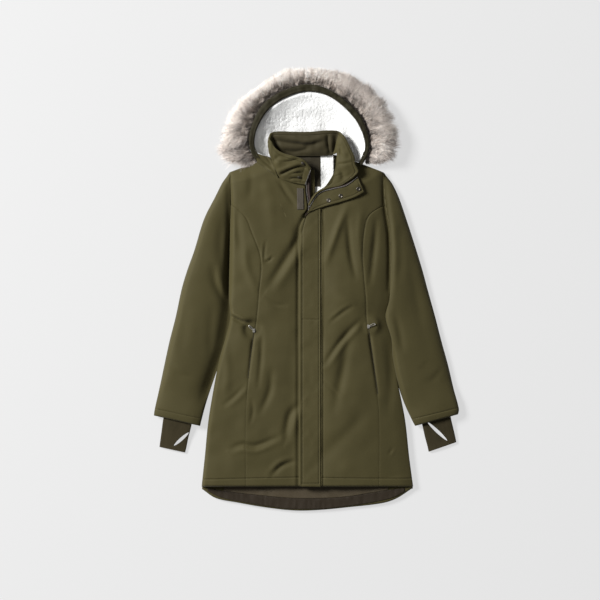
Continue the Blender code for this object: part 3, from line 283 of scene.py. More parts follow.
SLEEVE_CREASES = (
    # The armholes
    (0.0080, -0.0065, 0, ((-0.1925, 0.280), (-0.1895, 0.220), (-0.1900, 0.160),
                          (-0.1910, 0.100), (-0.1920, 0.030), (-0.1900, -0.050))),
    (0.0070, -0.0050, 0, ((0.1970, 0.280), (0.2000, 0.220), (0.2090, 0.160),
                          (0.2120, 0.100), (0.2100, 0.030), (0.2020, -0.050))),
    (0.0080, -0.0040, 1, ((-0.232, 0.060), (-0.226, 0.020), (-0.213, -0.010), (-0.199, -0.034))),
    (0.0100, -0.0022, 0, ((-0.208, 0.170), (-0.214, 0.120), (-0.213, 0.070))),
    (0.0090, -0.0020, 0, ((-0.232, -0.040), (-0.238, -0.100), (-0.240, -0.160))),
    (0.0130, -0.0014, 0, ((-0.300, -0.010), (-0.302, -0.090), (-0.318, -0.180))),
    (0.0070, -0.0012, 1, ((-0.335, -0.195), (-0.310, -0.212), (-0.290, -0.214))),
    (0.0040, -0.0012, 1, ((0.286, -0.200), (0.294, -0.188), (0.301, -0.176))),
    (0.0100, -0.0022, 0, ((0.232, 0.150), (0.236, 0.080), (0.232, 0.020))),
    (0.0080, -0.0024, -1, ((0.222, -0.060), (0.232, -0.100), (0.240, -0.150))),
    (0.0120, -0.0016, 0, ((0.262, 0.060), (0.276, -0.020), (0.290, -0.100))),
    (0.0070, -0.0012, -1, ((0.340, -0.195), (0.315, -0.222), (0.300, -0.226))),
)
# Creases of the underside, where the cloth lifts off the surface
UNDER_CREASES = (
    (0.0090, 0.0020, 0, ((-0.150, 0.180), (-0.120, 0.120), (-0.100, 0.040))),
    (0.0080, 0.0018, 0, ((0.155, 0.170), (0.128, 0.110), (0.108, 0.050))),
    (0.0060, 0.0018, 1, ((-0.170, -0.060), (-0.120, -0.072), (-0.070, -0.066))),
    (0.0060, 0.0016, -1, ((0.176, -0.070), (0.120, -0.060), (0.074, -0.072))),
    (0.0100, 0.0020, 0, ((-0.110, -0.150), (-0.120, -0.250), (-0.150, -0.340))),
    (0.0090, 0.0018, 0, ((0.090, -0.170), (0.110, -0.260), (0.104, -0.350))),
    (0.0070, 0.0014, 1, ((-0.050, -0.330), (-0.020, -0.420), (-0.030, -0.480))),
    (0.0060, 0.0014, 0, ((0.040, 0.240), (0.070, 0.200), (0.118, 0.182))),
    (0.0080, 0.0018, 0, ((-0.270, 0.090), (-0.262, 0.010), (-0.272, -0.060))),
    (0.0070, 0.0016, 1, ((0.262, 0.060), (0.270, -0.010), (0.262, -0.050))),
    (0.0070, 0.0014, 0, ((-0.320, -0.120), (-0.300, -0.170), (-0.290, -0.240))),
    (0.0070, 0.0014, 0, ((0.318, -0.110), (0.300, -0.180), (0.302, -0.250))),
)


# Curves and blends, on arrays


def ease(value):
    """A smooth step from 0 at 0 to 1 at 1."""
    value = np.clip(value, 0.0, 1.0)
    return value * value * (3 - 2 * value)


def bell(away, half_width):
    return np.exp(-((away / half_width) ** 2))


def between(keys, rows, t, smooth):
    """The rows at keys t, on straight lines or on a smooth curve through the rows."""
    keys, rows = np.asarray(keys, float), np.asarray(rows, float)
    t = np.clip(np.asarray(t, float), keys[0], keys[-1])
    i = np.clip(np.searchsorted(keys, t, side="right") - 1, 0, len(keys) - 2)
    j = i + 1
    span = (keys[j] - keys[i])[..., None]
    f = (t - keys[i])[..., None] / span
    a, b = rows[i], rows[j]
    if not smooth:
        return a + (b - a) * f
    before, after = np.maximum(i - 1, 0), np.minimum(j + 1, len(keys) - 1)
    slope_a = (b - rows[before]) / (keys[j] - keys[before])[..., None] * span
    slope_b = (rows[after] - a) / (keys[after] - keys[i])[..., None] * span
    start = (1 + 2 * f) * (1 - f) ** 2 * a + f * (1 - f) ** 2 * slope_a
    return start + f * f * (3 - 2 * f) * b + f * f * (f - 1) * slope_b


def route(rows, smooth=True):
    """A function of t from 0 to 1 that follows the rows by their distance apart."""
    rows = np.asarray(rows, float)
    keys = np.concatenate(([0.0], np.cumsum(np.linalg.norm(np.diff(rows, axis=0), axis=1))))
    keys /= keys[-1]
    return lambda t: between(keys, rows, t, smooth)


def table(rows):
    """A function that gives a table's other columns at values of its first one."""
    rows = np.asarray(rows, float)
    return lambda key: between(rows[:, 0], rows[:, 1:], key, True)


def line(a, b):
    a, b = np.asarray(a, float), np.asarray(b, float)
    return lambda t: a + (b - a) * np.asarray(t, float)[..., None]


def patch(left, right, bottom, top):
    """Plan points for u across and v up, from the four edges of a panel."""
    corners = [edge(np.array(t)) for edge, t in ((left, 0.0), (right, 0.0), (left, 1.0), (right, 1.0))]

    def at(u, v):
        weights = ((1 - u) * (1 - v), u * (1 - v), (1 - u) * v, u * v)
        found = left(v) * (1 - u)[..., None] + right(v) * u[..., None]
        found = found + bottom(u) * (1 - v)[..., None] + top(u) * v[..., None]
        for weight, corner in zip(weights, corners):
            found = found - weight[..., None] * corner
        return found[..., 0], found[..., 1]

    return at


def four_sided(low_left, low_right, high_left, high_right):
    """A patch with straight edges between four corners."""
    return patch(
        line(low_left, high_left), line(low_right, high_right),
        line(low_left, low_right), line(high_left, high_right),
    )


def paired(rows):
    """Plan points for u along rows of two points and v from the first to the second."""
    at = route(rows)

    def found(u, v):
        near_x, near_y, far_x, far_y = np.moveaxis(at(u), -1, 0)
        return near_x + (far_x - near_x) * v, near_y + (far_y - near_y) * v

    return found


def joined(first, second, share):
    """One edge from two: the first up to this share of the way, then the second."""

    def at(t):
        t = np.asarray(t, float)
        early = first(np.minimum(t / share, 1.0))
        late = second(np.maximum((t - share) / (1 - share), 0.0))
        return np.where((t <= share)[..., None], early, late)

    return at


def sides_at(y):
    found = table(BODY)(y)
    return found[..., 0], found[..., 1]


def seam(rows, shift):
    at = table(rows)
    low, high = rows[0][0], rows[-1][0]

    def found(t):
        y = low + (high - low) * np.asarray(t, float)
        return np.stack((at(y)[..., 0] + shift, y), axis=-1)

    return found


def side(column, low, high, shift):
    def found(t):
        y = low + (high - low) * np.asarray(t, float)
        return np.stack((sides_at(y)[column] + shift, y), axis=-1)

    return found


def distances(x, y, points):
    """How far each point lies from a line of points, on which side, and how far along it."""
    points = np.asarray(points, float)
    best = np.full(np.shape(x), np.inf)
    sign, along = np.zeros(np.shape(x)), np.zeros(np.shape(x))
    lengths = np.linalg.norm(np.diff(points, axis=0), axis=1)
    run = 0.0
    for (ax, ay), (bx, by), length in zip(points, points[1:], lengths):
        dx, dy = (bx - ax) / length, (by - ay) / length
        t = np.clip((x - ax) * dx + (y - ay) * dy, 0, length)
        away = np.hypot(x - ax - dx * t, y - ay - dy * t)
        nearer = away < best
        best = np.where(nearer, away, best)
        sign = np.where(nearer, np.sign(dx * (y - ay) - dy * (x - ax)), sign)
        along = np.where(nearer, run + t, along)
        run += length
    return best, sign, along / run


def relief(x, y, creases):
    """The rise that a table of creases gives at each point."""
    rise = np.zeros(np.shape(x))
    for half_width, height, lean, points in creases:
        away, sign, along = distances(x, y, route(points)(np.linspace(0, 1, 9)))
        taper = np.sin(np.pi * (0.06 + 0.88 * along)) ** 0.8
        rise += height * taper * bell(away, half_width)
        if lean:
            beside = away * sign * lean - 1.7 * half_width
            rise -= 0.55 * height * taper * bell(beside, 1.1 * half_width)
    return rise


def swell(x, y, size, seed):
    """Smooth random waves between -1 and 1, about this size across."""
    rng = np.random.default_rng(seed)
    cells = 64
    lattice = rng.uniform(-1, 1, (cells, cells))
    u, v = np.asarray(x) / size + 31.37, np.asarray(y) / size + 17.71
    i, j = np.floor(u).astype(int), np.floor(v).astype(int)
    f, g = ease(u - i), ease(v - j)
    a, b = lattice[i % cells, j % cells], lattice[(i + 1) % cells, j % cells]
    c, d = lattice[i % cells, (j + 1) % cells], lattice[(i + 1) % cells, (j + 1) % cells]
    return (a * (1 - f) + b * f) * (1 - g) + (c * (1 - f) + d * f) * g


def nearest(u, v, spots):
    """The nearest of a grid's jittered spots: how far it is, its place and its further numbers."""
    i, j = np.floor(u).astype(int), np.floor(v).astype(int)
    cells = len(spots)
    best = np.full(np.shape(u), np.inf)
    found = np.zeros((spots.shape[2],) + np.shape(u))
    for di in (-1, 0, 1):
        for dj in (-1, 0, 1):
            spot = np.moveaxis(spots[(i + di) % cells, (j + dj) % cells], -1, 0).copy()
            spot[0] += i + di
            spot[1] += j + dj
            away = np.hypot(spot[0] - u, spot[1] - v)
            found = np.where(away < best, spot, found)
            best = np.minimum(best, away)
    return best, found


def knobs(x, y, size, seed):
    """Rounded tufts packed at random, 0 between them and 1 on top."""
    spots = np.random.default_rng(seed).uniform(0.1, 0.9, (96, 96, 2))
    away, _ = nearest(np.asarray(x) / size + 40.3, np.asarray(y) / size + 40.7, spots)
    return np.sqrt(np.clip(1 - (away / 0.95) ** 2, 0, 1))


def waves(x, y, *layers):
    """The sum of smooth random waves. Layers are height, size, seed."""
    return sum(height * swell(x, y, size, seed) for height, size, seed in layers)


def quarter(share):
    """A quarter round: 0 at 0, 1 from 1 on."""
    return np.sqrt(np.clip(1 - (1 - np.clip(share, 0, 1)) ** 2, 0, 1))


# Heights over the surface


def body_share(x, y):
    """The share of the body's width, from its left side."""
    low, high = sides_at(np.clip(y, FRONT_HEM_Y, SHOULDER_Y))
    return np.clip((x - low) / (high - low), 0.0, 1.0)


def across(x, y):
    """0 on the sides and 1 half way between them."""
    return 1 - (2 * body_share(x, y) - 1) ** 2


def shoulder_distance(x, y):
    """How far below the sloping shoulder line a point lies."""
    slope = (SHOULDER_TOP_Y - SHOULDER_Y) / (SHOULDER_OUTER_X - SHOULDER_INNER_X)
    return SHOULDER_Y + slope * (SHOULDER_OUTER_X - np.abs(x)) - y


# Fullness of the padding across the front. Columns: share of the width from the left, fullness
CROWN = (
    (0.00, 0.86), (0.03, 0.92), (0.09, 0.98), (0.20, 1.00), (0.29, 0.95), (0.37, 0.80), (0.425, 0.66),
    (0.450, 0.70), (0.50, 0.72), (0.565, 0.70), (0.62, 0.88), (0.67, 0.96), (0.73, 0.93), (0.80, 0.80),
    (0.87, 0.56), (0.93, 0.28), (0.97, 0.08), (1.00, -0.06),
)


def fullness(x, y):
    """0 where the padding is pressed flat in a seam, 1 where it is full."""
    at_side = table(CROWN)(body_share(x, y))[..., 0]
    open_side = ease((y - UNDERARM_Y + 0.06) / 0.10) * ease((0.02 - x) / 0.05)
    at_side = at_side + open_side * (np.maximum(at_side, 0.70) - at_side)
    roll = 0.05 + 0.05 * ease((x - 0.06) / 0.06)
    return np.minimum(at_side, ease(shoulder_distance(x, y) / roll + 0.25 - 2.5 * (roll - 0.05)))


def edge_share(x, y):
    """Falls away in a soft curve beside the sleeves and along the open sides."""
    low, high = sides_at(np.clip(y, FRONT_HEM_Y, SHOULDER_Y))
    inside = np.minimum(x - low, high - x)
    reach = np.where(x < 0, 0.009, 0.030) * (1 - 0.25 * ease((y - UNDERARM_Y) / 0.05))
    near = np.clip(inside / reach, 0.0, 1.0)
    least = np.where(x < 0, 0.30, 0.20)
    return least + (1 - least) * np.sqrt(1 - (1 - near) ** 2)


def neck_share(x, y):
    """1 round the neck, where the front lies over the back's upper edge."""
    beside = ease((x + 0.090) / 0.06) * ease((0.140 - x) / 0.06)
    return ease((y - 0.130) / 0.10) * beside


def pocket_seats():
    """Where the pocket sliders and their pulls lie on the front: x, y and the cloth's height."""
    seats = []
    for name in ("left", "right"):
        slider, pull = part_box(f"pocket_slider_{name}"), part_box(f"pocket_pull_{name}")
        x, y = ((slider[0][k] + slider[1][k] + pull[0][k] + pull[1][k]) / 4 for k in (0, 1))
        seats.append((x, y, slider[0][2]))
    return seats


POCKET_SEATS = pocket_seats()
POCKET_DEPTH = 0.0042
SEAT_WIDTH = 0.020
CREASE_DEPTH = 2.0


def front_low(x, y):
    """The inner side of the front, lying on the back."""
    air = AIR * across(x, y) ** 0.5 * fullness(x, y)
    neck = NECK_LIFT * neck_share(x, y) * ease(shoulder_distance(x, y) / 0.04 + 0.3)
    hem = HEM_LIFT * ease((-0.455 - y) / 0.02) * ease(across(x, y) * 4)
    return BACK_WALL + GAP + np.maximum(air, hem) + neck


def front_high(x, y):
    """The outer side of the front, with its creases."""
    neck = neck_share(x, y)
    full = FRONT_WALL * (1 - neck) + NECK_WALL * neck
    wall = SEAM_WALL + (full - SEAM_WALL) * fullness(x, y)
    soft = waves(x, y, (0.0027, 0.070, 3), (0.0011, 0.028, 4))
    form = CREASE_DEPTH * relief(x, y, CREASES) + soft * fullness(x, y)
    high = front_low(x, y) + wall * edge_share(x, y) + form * ease(edge_share(x, y) * 1.4)
    for _, top_x, top_y, low_x, low_y in POCKETS:
        away, _, along = distances(x, y, ((top_x, top_y), (low_x, low_y)))
        high = high - POCKET_DEPTH * bell(away, POCKET_DEPTH) * (1 - 0.75 * along)
    for place_x, place_y, seat in POCKET_SEATS:
        high = high + (seat - high) * ease(1.9 * bell(np.hypot(x - place_x, y - place_y), SEAT_WIDTH))
    return high


# Meshes


# Keeps a division from reaching zero
TINY = 1e-9
THINNEST = 0.0006
# Above every piece, where a ray starts, and past both sides of a cuff, for a cutter
ABOVE_ALL = 0.2
CUTTER_HEIGHTS = (-0.02, 0.04)
# How far the first grid lines lie from an edge
CLOSE_LINES = (0, 0.0007, 0.0016, 0.0028, 0.0044, 0.0066)
CLOSEST_LINES = 0.0005


def stations(length, step, ends=(1, 1), extra=()):
    """Shares of a length, close together at its ends and at the extra places."""
    close = np.array(CLOSE_LINES)
    found = [np.linspace(0, length, max(3, round(length / step) + 1))]
    if ends[0]:
        found.append(close)
    if ends[1]:
        found.append(length - close)
    for place in extra:
        found += [place + close[:4], place - close[:4]]
    found = np.unique(np.clip(np.concatenate(found), 0, length))
    kept = [found[0]]
    for value in found[1:-1]:
        if min(value - kept[-1], length - value) > CLOSEST_LINES:
            kept.append(value)
    return np.array(kept + [length]) / length


def placed(name, data):
    """A new object in the scene that holds this data."""
    thing = bpy.data.objects.new(name, data)
    bpy.context.scene.collection.objects.link(thing)
    return thing


def mesh_object(name, points, faces):
    """A smooth object from lists of points and faces."""
    mesh = bpy.data.meshes.new(name)
    mesh.from_pydata(points, [], faces)
    mesh.update()
    mesh.shade_smooth()
    return placed(name, mesh)


def quads(index):
    """The faces of a grid of vertex numbers."""
    return np.stack((index[:-1, :-1], index[1:, :-1], index[1:, 1:], index[:-1, 1:]), axis=-1).reshape(-1, 4)


def shell(name, top, low, wrap=False):
    """A closed cloth from its upper and lower grids of points. A wrapped one is a tube along rows."""
    rows, columns = top.shape[:2]
    upper = np.arange(rows * columns).reshape(rows, columns)
    lower = upper + rows * columns
    points = np.concatenate((top.reshape(-1, 3), low.reshape(-1, 3)))
    if wrap:
        upper, lower = np.vstack((upper, upper[:1])), np.vstack((lower, lower[:1]))
    faces = [quads(upper), quads(lower)[:, ::-1]]
    rims = [(upper[:, 0], lower[:, 0], False), (upper[:, -1], lower[:, -1], True)]
    if not wrap:
        rims += [(upper[0], lower[0], True), (upper[-1], lower[-1], False)]
    for a, b, flip in rims:
        strip = np.stack((a[:-1], b[:-1], b[1:], a[1:]), axis=-1)
        faces.append(strip if flip else strip[:, ::-1])
    thing = mesh_object(name, points.tolist(), np.concatenate(faces).tolist())
    fix_normals(thing)
    return thing


def fix_normals(thing):
    bm = bmesh.new()
    bm.from_mesh(thing.data)
    bmesh.ops.recalc_face_normals(bm, faces=bm.faces[:])
    if bm.calc_volume(signed=True) < 0:
        bmesh.ops.reverse_faces(bm, faces=bm.faces[:])
    bm.to_mesh(thing.data)
    bm.free()


def edge_runs(points):
    """How far each point of a grid lies from the grid's four edges, along its lines."""

    def run(axis):
        steps = np.linalg.norm(np.diff(points, axis=axis), axis=-1)
        zero = np.zeros_like(np.take(points[..., 0], [0], axis=axis))
        return np.concatenate((zero, np.cumsum(steps, axis=axis)), axis=axis)

    across_run, up_run = run(0), run(1)
    return across_run, across_run[-1:] - across_run, up_run, up_run[:, -1:] - up_run


def rounding(runs, radii):
    """1 inside and falling to 0 on the edges that have a radius."""
    share = np.ones_like(runs[0])
    for run, radius in zip(runs, radii):
        if radius:
            share = share * quarter(run / radius)
    return share


def dips(runs, depths, half_width=0.0024):
    """How far the cloth is drawn down along its sewn edges, with small puckers."""
    drawn = np.zeros_like(runs[0])
    for number, (run, depth) in enumerate(zip(runs, depths)):
        if depth:
            along = runs[2] if number < 2 else runs[0]
            pucker = swell(along, along * 0 + number, 0.0075, 20 + number)
            near = bell(run, half_width) + 0.22 * bell(run, 4.0 * half_width)
            # The long seams are drawn down less near the hem
            strength = 0.30 + 0.70 * ease((along - 0.20) / 0.08) if number < 2 else 1.0
            drawn = drawn - depth * strength * (near + 0.22 * pucker * bell(run - 0.004, 0.006))
    return drawn


def stacked(*coordinates):
    return np.stack(coordinates, axis=-1)


def laid(name, outline, u, v, low, high, radii, depths=(0, 0, 0, 0), grooves=(), floor=0.25):
    """A cloth lying flat. Its grid points come from its outline, its heights from low and high.

    Radii round its edges and depths draw them down, both in the order low u, high u, low v, high v.
    Grooves are half width, depth and points. The floor is the share of the height left at an edge.
    """
    grid_u, grid_v = np.meshgrid(u, v, indexing="ij")
    x, y = outline(grid_u, grid_v)
    runs = edge_runs(stacked(x, y))
    bottom = low(x, y) + np.zeros_like(x)
    top = high(x, y) + dips(runs, depths)
    for half_width, depth, points in grooves:
        top = top - depth * bell(distances(x, y, points)[0], half_width)
    share = floor + (1 - floor) * rounding(runs, radii)
    top = bottom + np.maximum(top - bottom, THINNEST) * share
    return shell(name, stacked(x, y, top), stacked(x, y, bottom))


def grid_normals(points):
    normal = np.cross(np.gradient(points, axis=0), np.gradient(points, axis=1))
    return normal / np.maximum(np.linalg.norm(normal, axis=-1, keepdims=True), TINY)


def strip(name, middle, wall, rounded_ends):
    """A cloth of even thickness on a grid of points, its edges rounded."""
    normal = grid_normals(middle)
    radii = [wall * 0.55 if r else 0 for r in rounded_ends]
    half = (wall / 2 * (0.25 + 0.75 * rounding(edge_runs(middle), radii)))[..., None]
    return shell(name, middle + normal * half, middle - normal * half)


def rounded(value, power):
    """A power that keeps the sign."""
    return np.copysign(np.abs(value) ** power, value)


def surface_of(*things):
    """A tree that finds the shown surface of these pieces."""
    points, faces = [], []
    for thing in things:
        start = len(points)
        points += [v.co.copy() for v in thing.data.vertices]
        faces += [tuple(start + i for i in p.vertices) for p in thing.data.polygons]
    return BVHTree.FromPolygons(points, faces)


def drop(tree, x, y, fallback):
    """The point and normal on the surface under a plan point."""
    place, normal, _, _ = tree.ray_cast(Vector((x, y, ABOVE_ALL)), Vector((0, 0, -1)))
    if place is None:
        return Vector((x, y, fallback)), Vector((0, 0, 1))
    return place, normal


def joined_meshes(name, parts):
    """One object from many small sets of points and faces."""
    points, faces = [], []
    for part_points, part_faces in parts:
        start = len(points)
        points += [tuple(p) for p in part_points]
        faces += [tuple(start + i for i in f) for f in part_faces]
    return mesh_object(name, points, faces)


STITCH_FACES = ((0, 1, 2), (0, 2, 3), (0, 3, 4), (0, 4, 1), (5, 2, 1), (5, 3, 2), (5, 4, 3), (5, 1, 4))


def stitch(start, end, normal):
    """One stitch: a thin eight-sided thread, pointed where it enters the cloth."""
    way = (end - start).normalized()
    up, aside = normal * STITCH_RADIUS, way.cross(normal).normalized() * STITCH_RADIUS
    middle = (start + end) / 2
    ring = [middle + up, middle + aside, middle - up, middle - aside]
    return [start, *ring, end], STITCH_FACES


STITCH_RADIUS = 0.00042


def stitches(name, tree, lines, pitch=0.0034):
    """Stitches along plan lines, laid on the surface."""
    parts = []
    for points in lines:
        points = np.asarray(points, float)
        length = np.linalg.norm(np.diff(points, axis=0), axis=1).sum()
        at = route(points, False)
        count = max(2, round(length / pitch))
        for number in range(count):
            ends = []
            for share in ((number + 0.16) / count, (number + 0.84) / count):
                x, y = at(np.array(share))
                place, normal = drop(tree, x, y, 0.03)
                ends.append(place + normal * (STITCH_RADIUS * 0.55))
            if (ends[1] - ends[0]).length < 2 * pitch:
                parts.append(stitch(*ends, normal))
    finish_piece(joined_meshes(name, parts), SEAM_THREAD)


def finish_piece(thing, look, nodes=(), body="coat", **sheet):
    """Gives a piece its finish and its body, and hides the CAD nodes that it stands for."""
    material, slot = look
    thing.data.materials.clear()
    thing.data.materials.append(material)
    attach(thing, body)
    if nodes:
        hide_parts(*nodes)
    return thing


# Materials


def new_material(name, roughness, metallic=0.0, sheen=0.0, specular=0.3):
    """A material, and functions that add a node, add a sum, and finish the shader."""
    material = bpy.data.materials.new(name)
    material.use_nodes = True
    nodes, links = material.node_tree.nodes, material.node_tree.links
    shader = nodes["Principled BSDF"]
    shader.inputs["Roughness"].default_value = roughness
    shader.inputs["Metallic"].default_value = metallic
    shader.inputs["Sheen Weight"].default_value = sheen
    shader.inputs["Sheen Roughness"].default_value = 0.5
    shader.inputs["Specular IOR Level"].default_value = specular

    def add(kind, settings=(), **inputs):
        node = nodes.new(kind)
        for key, value in dict(settings).items():
            setattr(node, key, value)
        for key, value in inputs.items():
            socket = node.inputs[key.replace("_", " ")] if key[0] != "i" else node.inputs[int(key[1:])]
            if isinstance(value, bpy.types.NodeSocket):
                links.new(value, socket)
            else:
                socket.default_value = value
        return node

    def calculate(operation, *values):
        inputs = {f"i{number}": value for number, value in enumerate(values)}
        return add("ShaderNodeMath", {"operation": operation}, **inputs).outputs[0]

    def finish(base, *bump):
        links.new(base, shader.inputs["Base Color"])
        if bump:
            strength, distance, height = bump
            bumped = add("ShaderNodeBump", Strength=strength, Distance=distance, Height=height)
            links.new(bumped.outputs["Normal"], shader.inputs["Normal"])

    return material, add, calculate, finish


def object_place(add):
    return add("ShaderNodeTexCoord").outputs["Object"]


# How far the cloth's colour strays, as a share of it
MOTTLING = 0.16


def noise(add, where, scale, detail=2.0):
    return add("ShaderNodeTexNoise", Vector=where, Scale=scale, Detail=detail).outputs["Fac"]


def mixed(add, share, a, b):
    node = add("ShaderNodeMix", {"data_type": "RGBA"}, i0=share, i6=(*a, 1.0), i7=(*b, 1.0))
    return node.outputs[2]


def scaled(colour, factor):
    return tuple(c * factor for c in colour)


def cloth_look(name, slot, colour, roughness=0.72, sheen=0.06, thread=0.0009, depth=0.00012):
    """Woven cloth: crossed threads in the bump, soft patches and fine mottling in the colour."""
    material, add, calculate, finish = new_material(name, roughness, sheen=sheen, specular=0.22)
    where = object_place(add)
    patches = noise(add, where, 11.0)
    mottle = noise(add, where, 420.0, 3.0)
    share = calculate("MULTIPLY_ADD", mottle, 0.45, 0.0)
    share = calculate("MULTIPLY_ADD", patches, 0.55, share)
    base = mixed(add, share, scaled(colour, 1 - MOTTLING), scaled(colour, 1 + MOTTLING))
    scale = math.tau / (20 * thread)
    warp = add("ShaderNodeTexWave", {"bands_direction": "X"}, Vector=where, Scale=scale)
    weft = add("ShaderNodeTexWave", {"bands_direction": "Y"}, Vector=where, Scale=scale)
    over = calculate("MAXIMUM", warp.outputs["Fac"], weft.outputs["Fac"])
    finish(base, 0.6, depth, calculate("ADD", over, noise(add, where, 900.0)))
    return material, slot


def pile_look_painted_shade(name, slot, light, dark):
    """Curly fleece: tight tufts in the bump, and painted shade that makes it a little darker between them."""
    material, add, calculate, finish = new_material(name, 1.0, sheen=0.3, specular=0.1)
    where = object_place(add)
    curls = add("ShaderNodeTexVoronoi", {"feature": "SMOOTH_F1"}, Vector=where, Scale=330.0)
    fibres = noise(add, where, 1500.0, 4.0)
    # Painted shade: the colour darkens away from each tuft's middle, broken up by fine fibre noise
    base = mixed(add, calculate("MULTIPLY", curls.outputs["Distance"], fibres), light, dark)
    finish(base, 0.8, 0.0012, calculate("SUBTRACT", fibres, curls.outputs["Distance"]))
    return material, slot


def metal_look(name, slot, colour, roughness):
    """Cast zip metal: a fine grain and slightly worn patches."""
    material, add, _, finish = new_material(name, roughness, metallic=0.9, specular=0.5)
    where = object_place(add)
    base = mixed(add, noise(add, where, 600.0, 3.0), scaled(colour, 0.82), scaled(colour, 1.15))
    finish(base, 0.3, 0.00005, noise(add, where, 3000.0))
    return material, slot


def hair_look(name, slot):
    """Fur fibres: the colour from root to tip is stored on the strands."""
    material, add, _, finish = new_material(name, 0.75, specular=0.2)
    stored = add("ShaderNodeAttribute", {"attribute_name": "strand_colour"})
    finish(stored.outputs["Color"])
    return material, slot


OLIVE = (0.0565, 0.0472, 0.0150)
SHELL = cloth_look("shell_cloth", "shell_olive", OLIVE)
SEAM_THREAD = cloth_look("seam_thread", "shell_olive", scaled(OLIVE, 0.62), thread=0.0005)
CUFF = cloth_look("cuff_knit", "cuff_dark", (0.0345, 0.0268, 0.0108), 0.85, 0.04, 0.0012, 0.0002)
# Painted shade: the hood's edge is the same shell olive, darkened to a third to stand in for the shade the fur
# casts on it
RIM_PAINTED_SHADE = cloth_look("rim_cloth_painted_shade", "shell_olive", scaled(OLIVE, 0.34))
# The collar's inside: a little browner than the shell olive, and mostly darker as painted shade for the hollow
# of the collar
COLLAR_INSIDE_PAINTED_SHADE = cloth_look("collar_inside_painted_shade", "shell_olive", (0.0390, 0.0315, 0.0125))
LINING_GREEN = cloth_look("lining_green_taffeta", "lining_green", (0.058, 0.044, 0.0245), 0.55, 0.1, 0.0006)
LINING_BROWN = cloth_look("lining_brown_facing", "lining_brown", (0.0245, 0.0170, 0.0090), 0.6, 0.02, 0.0006)
NECK_PATCH = cloth_look("neck_patch", "lining_brown", (0.0270, 0.0215, 0.0105), 0.6, 0.02, 0.0006)
ZIP_TAPE = cloth_look("zip_tape", "cuff_dark", (0.050, 0.034, 0.029), 0.8, 0.1, 0.0008, 0.0002)
TAB = cloth_look("tab_webbing", "tab_grey", (0.068, 0.058, 0.044), 0.7, 0.05, 0.0012, 0.0002)
# Fleece and undercoat both darken between their tufts as painted shade
SHERPA = pile_look_painted_shade("sherpa_fleece", "sherpa_white", (0.97, 0.97, 0.955), (0.92, 0.915, 0.90))
UNDERCOAT = pile_look_painted_shade("fur_undercoat", "fur_taupe", (0.36, 0.310, 0.270), (0.22, 0.185, 0.158))
FUR_HAIR = hair_look("fur_hair", "fur_taupe")
SILVER = metal_look("zip_silver_metal", "zip_silver", (0.60, 0.58, 0.54), 0.34)
DARK_METAL = metal_look("dark_metal", "metal_dark", (0.120, 0.108, 0.090), 0.36)


# The back


BACK_WIDTH, BACK_LENGTH = 0.520, 0.870
# Where the two seams run, along the width
BACK_SEAMS = (0.112, 0.416)
HEM_STITCH = 0.020
HIGHEST_LIFT = 0.0045


def add_back():
    """One layer of three panels, flat underneath, drawn in at its seams and hem stitches."""
    tail, crest = table(TAIL), table(BACK_TOP)
    seam_left, seam_right = table(LEFT_PRINCESS), table(RIGHT_PRINCESS)
    u = stations(BACK_WIDTH, 0.0080, extra=BACK_SEAMS)
    v = stations(BACK_LENGTH, 0.0084, extra=(HEM_STITCH,))
    grid_u, grid_v = np.meshgrid(u, v, indexing="ij")
    shares = [place / BACK_WIDTH for place in (0.0, *BACK_SEAMS, BACK_WIDTH)]
    y = -0.52 + 0.84 * grid_v
    # x depends on y through the seams, and y on x through the hem and the neck
    for _ in range(12):
        low, high = sides_at(np.clip(y, FRONT_HEM_Y, SHOULDER_Y))
        low, high = low + BACK_INSET, high - BACK_INSET
        inside_y = np.clip(y, FRONT_HEM_Y, SEAM_TOP_Y)
        first = np.maximum(seam_left(inside_y)[..., 0] * 0.86, low * 0.985)
        second = np.minimum(seam_right(inside_y)[..., 0] * 0.86, high * 0.985)
        x = low
        for a, b, start, end in zip((low, first, second), (first, second, high), shares, shares[1:]):
            x = np.where(grid_u < start, x, a + (b - a) * (grid_u - start) / (end - start))
        y = tail(x)[..., 0] + (crest(x)[..., 0] - tail(x)[..., 0]) * grid_v
    runs = edge_runs(stacked(x, y))
    half = BACK_WALL / 2 * (0.30 + 0.70 * rounding(runs, (0.006, 0.006, 0.006, 0)))
    rise = relief(x, y, UNDER_CREASES)
    rise += 0.0010 * np.maximum(swell(x, y, 0.075, 61), -0.2) + 0.0002
    for edge in (first, second):
        away = np.abs(x - edge)
        pucker = swell(y, y * 0, 0.011, 63)
        rise += 0.0016 * bell(away, 0.0030) + 0.0006 * (1 + pucker) * bell(away, 0.010)
    rise += 0.0012 * bell(runs[2] - HEM_STITCH, 0.0016)
    rise += 0.0006 * (1 + swell(x, y * 0, 0.012, 65)) * bell(runs[2] - 0.012, 0.009)
    settled = ease(np.minimum.reduce(runs[:3]) / 0.006)
    bottom = BACK_WALL / 2 - half + np.clip(rise, 0, HIGHEST_LIFT) * (0.3 + 0.7 * settled)
    back = shell("back_panels", stacked(x, y, BACK_WALL / 2 + half), stacked(x, y, bottom))
    finish_piece(back, SHELL, ["back"], flat=(0.525, 0.885), area=0.392, rests_on=["floor"])


